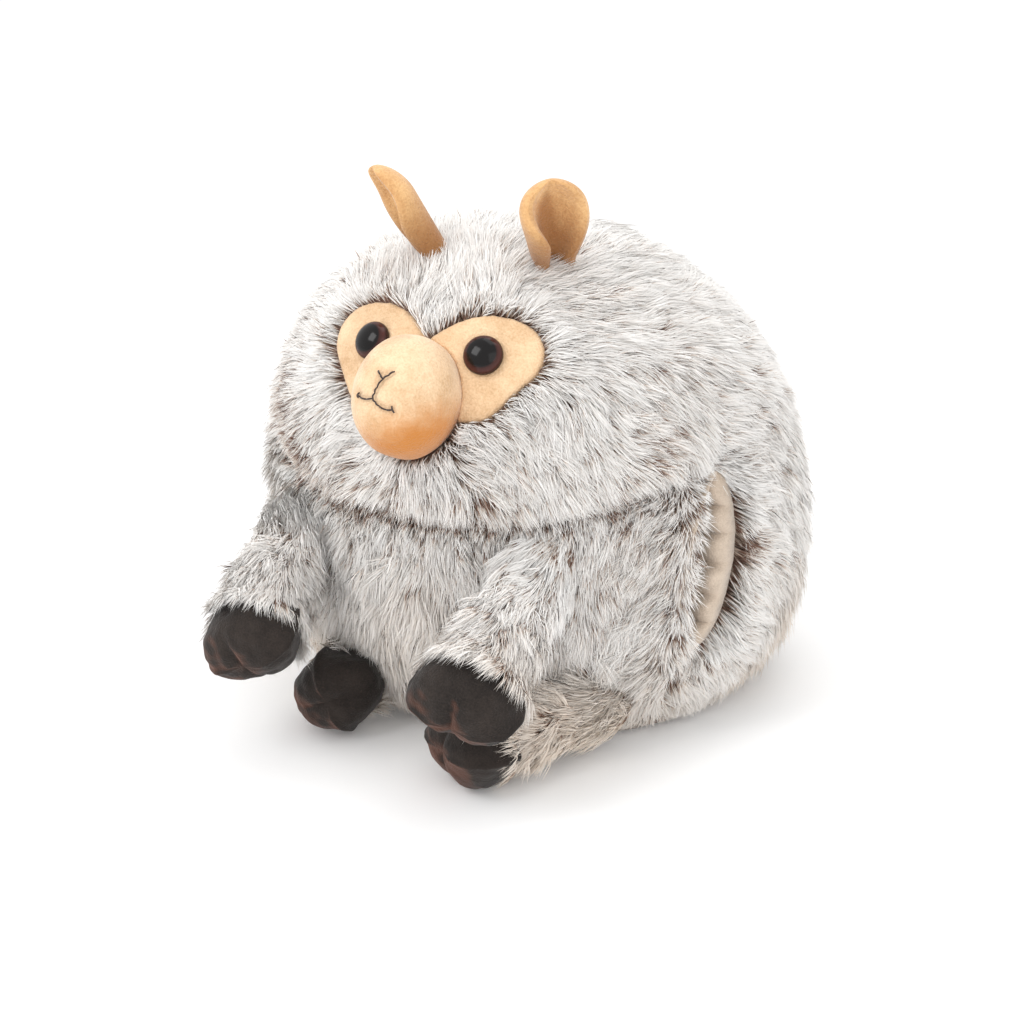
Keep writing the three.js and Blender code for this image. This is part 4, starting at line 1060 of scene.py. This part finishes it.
HOOF_LENGTH, HOOF_HALF, HOOF_THROAT, HOOF_MIDDLE = 0.031, (0.0258, 0.0210), 0.88, 0.012
HOOF_CLOSED, HOOF_WIDEST, SEAM_STAND_OUT = 0.18, 0.45, 0.0024
CLEFT_DEPTH, CLEFT_WIDTH, THREAD_DEPTH, THREAD_LINE = 0.0022, 0.0034, 0.0012, 0.0014
# The last of these is the way that the painted reddish sheen faces: the lower left undersides.
TOE_RIDGE, TOE_RIDGE_WIDTH, PAINTED_SHEEN_SIDE = 0.0010, 0.0016, np.array((-0.65, -0.35, -0.65))


def hoof_shape(points, limb):
    """A unit ball as the filled pouch at the end of a limb."""
    turn = np.arctan2(points[:, 1], points[:, 0])
    pole_share = 1 - np.arccos(np.clip(points[:, 2], -1, 1)) / math.pi
    closing = np.clip(pole_share / HOOF_CLOSED, 0, 1)
    share = np.clip((pole_share - HOOF_CLOSED) / (1 - HOOF_CLOSED), 0, 1)
    late = np.clip((share - HOOF_WIDEST) / (1 - HOOF_WIDEST), 0, 1)
    early = np.clip(share / HOOF_WIDEST, 0, 1)
    swell = HOOF_THROAT + (1 - HOOF_THROAT) * np.sin(math.pi / 2 * early)
    swell = swell * np.sin(math.pi / 2 * closing)
    half_width, half_depth = limb.get("hoof_half", HOOF_HALF)
    width = half_width * swell * (1 - late**2.8) ** (1 / 2.8)
    width += SEAM_STAND_OUT * near(np.sin(turn), 0.15) * (1 - late) * closing
    depth = half_depth * swell * (1 - late**1.8) ** (1 / 1.7)
    x = width * np.cos(turn)
    y = depth * np.sign(np.sin(turn)) * np.abs(np.sin(turn)) ** 1.2
    z = limb["reach"] + HOOF_LENGTH * share - 0.002 * (1 - closing)
    cleft = near(x, CLEFT_WIDTH)
    z = z - CLEFT_DEPTH * cleft * share**4 - THREAD_DEPTH * near(x, THREAD_LINE) * share**5
    z = z + TOE_RIDGE * near(y, TOE_RIDGE_WIDTH) * late
    y = y * (1 - 0.05 * cleft * share**3)
    along, across = limb["along"], limb["across"]
    over = np.cross(along, across)
    lie = limb.get("hoof_turn", 0.0)
    across, over = (
        across * math.cos(lie) + over * math.sin(lie),
        over * math.cos(lie) - across * math.sin(lie),
    )
    places = limb["root"] + x[:, None] * across + y[:, None] * over + z[:, None] * along
    middle = limb["root"] + (limb["reach"] + HOOF_MIDDLE) * along
    bulge = 0.0005 * ripple(places, 0.022, 61) + 0.0003 * ripple(places, 0.009, 62)
    return places + unit(places - middle) * bulge[:, None]


# Its second colour is the painted reddish sheen of the hooves.
hoof_velour = velour_material(
    "hoof_velour",
    [(0.40, (0.007, 0.0055, 0.005)), (1.0, (0.034, 0.026, 0.022))],
    1100.0, 0.0008, 0.12, painted_light_tint=(0.16, 0.050, 0.022), painted_light_share=lambda tree: own_map(tree, "wear")["X"],
)
for body, limb in LIMBS.items():
    kind, label = body.split("_")
    hoof = start_from(
        bpy.ops.mesh.primitive_uv_sphere_add, body + "_hoof_pouch",
        segments=96, ring_count=72, radius=1, calc_uvs=False,
    )
    reshape(hoof, lambda points: hoof_shape(points, limb))
    bpy.ops.object.shade_smooth()
    # Painted reddish sheen, where the velour would catch light at a glancing angle: on the lower left
    # undersides, kept in a UV map.
    painted_sheen = vertex_rows(hoof.data, "normal") @ unit(PAINTED_SHEEN_SIDE) - 0.45
    painted_sheen = 1.3 * painted_sheen + 0.12 * ripple(vertex_rows(hoof.data), 0.01, 63)
    paint(hoof, "wear", np.clip(painted_sheen, 0, 1))
    hoof.data.materials.append(hoof_velour)
    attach(hoof, body)
    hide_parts(f"{kind}_hoof_{label}")

# Floor, soft studio light and camera.

AIM = Vector((-0.0086, -0.0162, 0.0862))
CAMERA_PLACE, CAMERA_LENS = (0.4203, -0.8543, 0.4233), 65.29

floor = start_from(bpy.ops.mesh.primitive_plane_add, "studio_floor", size=60, location=(0, 0, 0))
floor_paper, _, shader = new_material("floor_paper", 0.9, Specular_IOR_Level=0.0)
feed(shader, Base_Color=(0.93, 0.93, 0.93, 1), Emission_Color=(1, 1, 1, 1), Emission_Strength=0.06)
floor.data.materials.append(floor_paper)

world = bpy.data.worlds.new("studio")
world.use_nodes = True
feed(world.node_tree.nodes["Background"], Color=(1, 1, 1, 1), Strength=1.06)
bpy.context.scene.world = world
for name, place, size, power in [
    ("key", (-0.7, -1.3, 1.5), 0.9, 12),
    ("fill", (1.4, -1.0, 0.9), 1.2, 4),
    ("top", (0.2, 0.5, 1.8), 1.2, 6),
]:
    bpy.ops.object.light_add(type="AREA", location=place)
    light = bpy.context.object
    light.name = name
    light.data.size = size
    light.data.energy = power
    light.rotation_euler = (AIM - Vector(place)).to_track_quat("-Z", "Y").to_euler()

camera = new_piece("camera", bpy.data.cameras.new("camera"))
camera.location = CAMERA_PLACE
camera.rotation_euler = (AIM - camera.location).to_track_quat("-Z", "Y").to_euler()
camera.data.sensor_width = 36
camera.data.lens = CAMERA_LENS
bpy.context.scene.camera = camera
bpy.context.scene.view_settings.view_transform = "Standard"
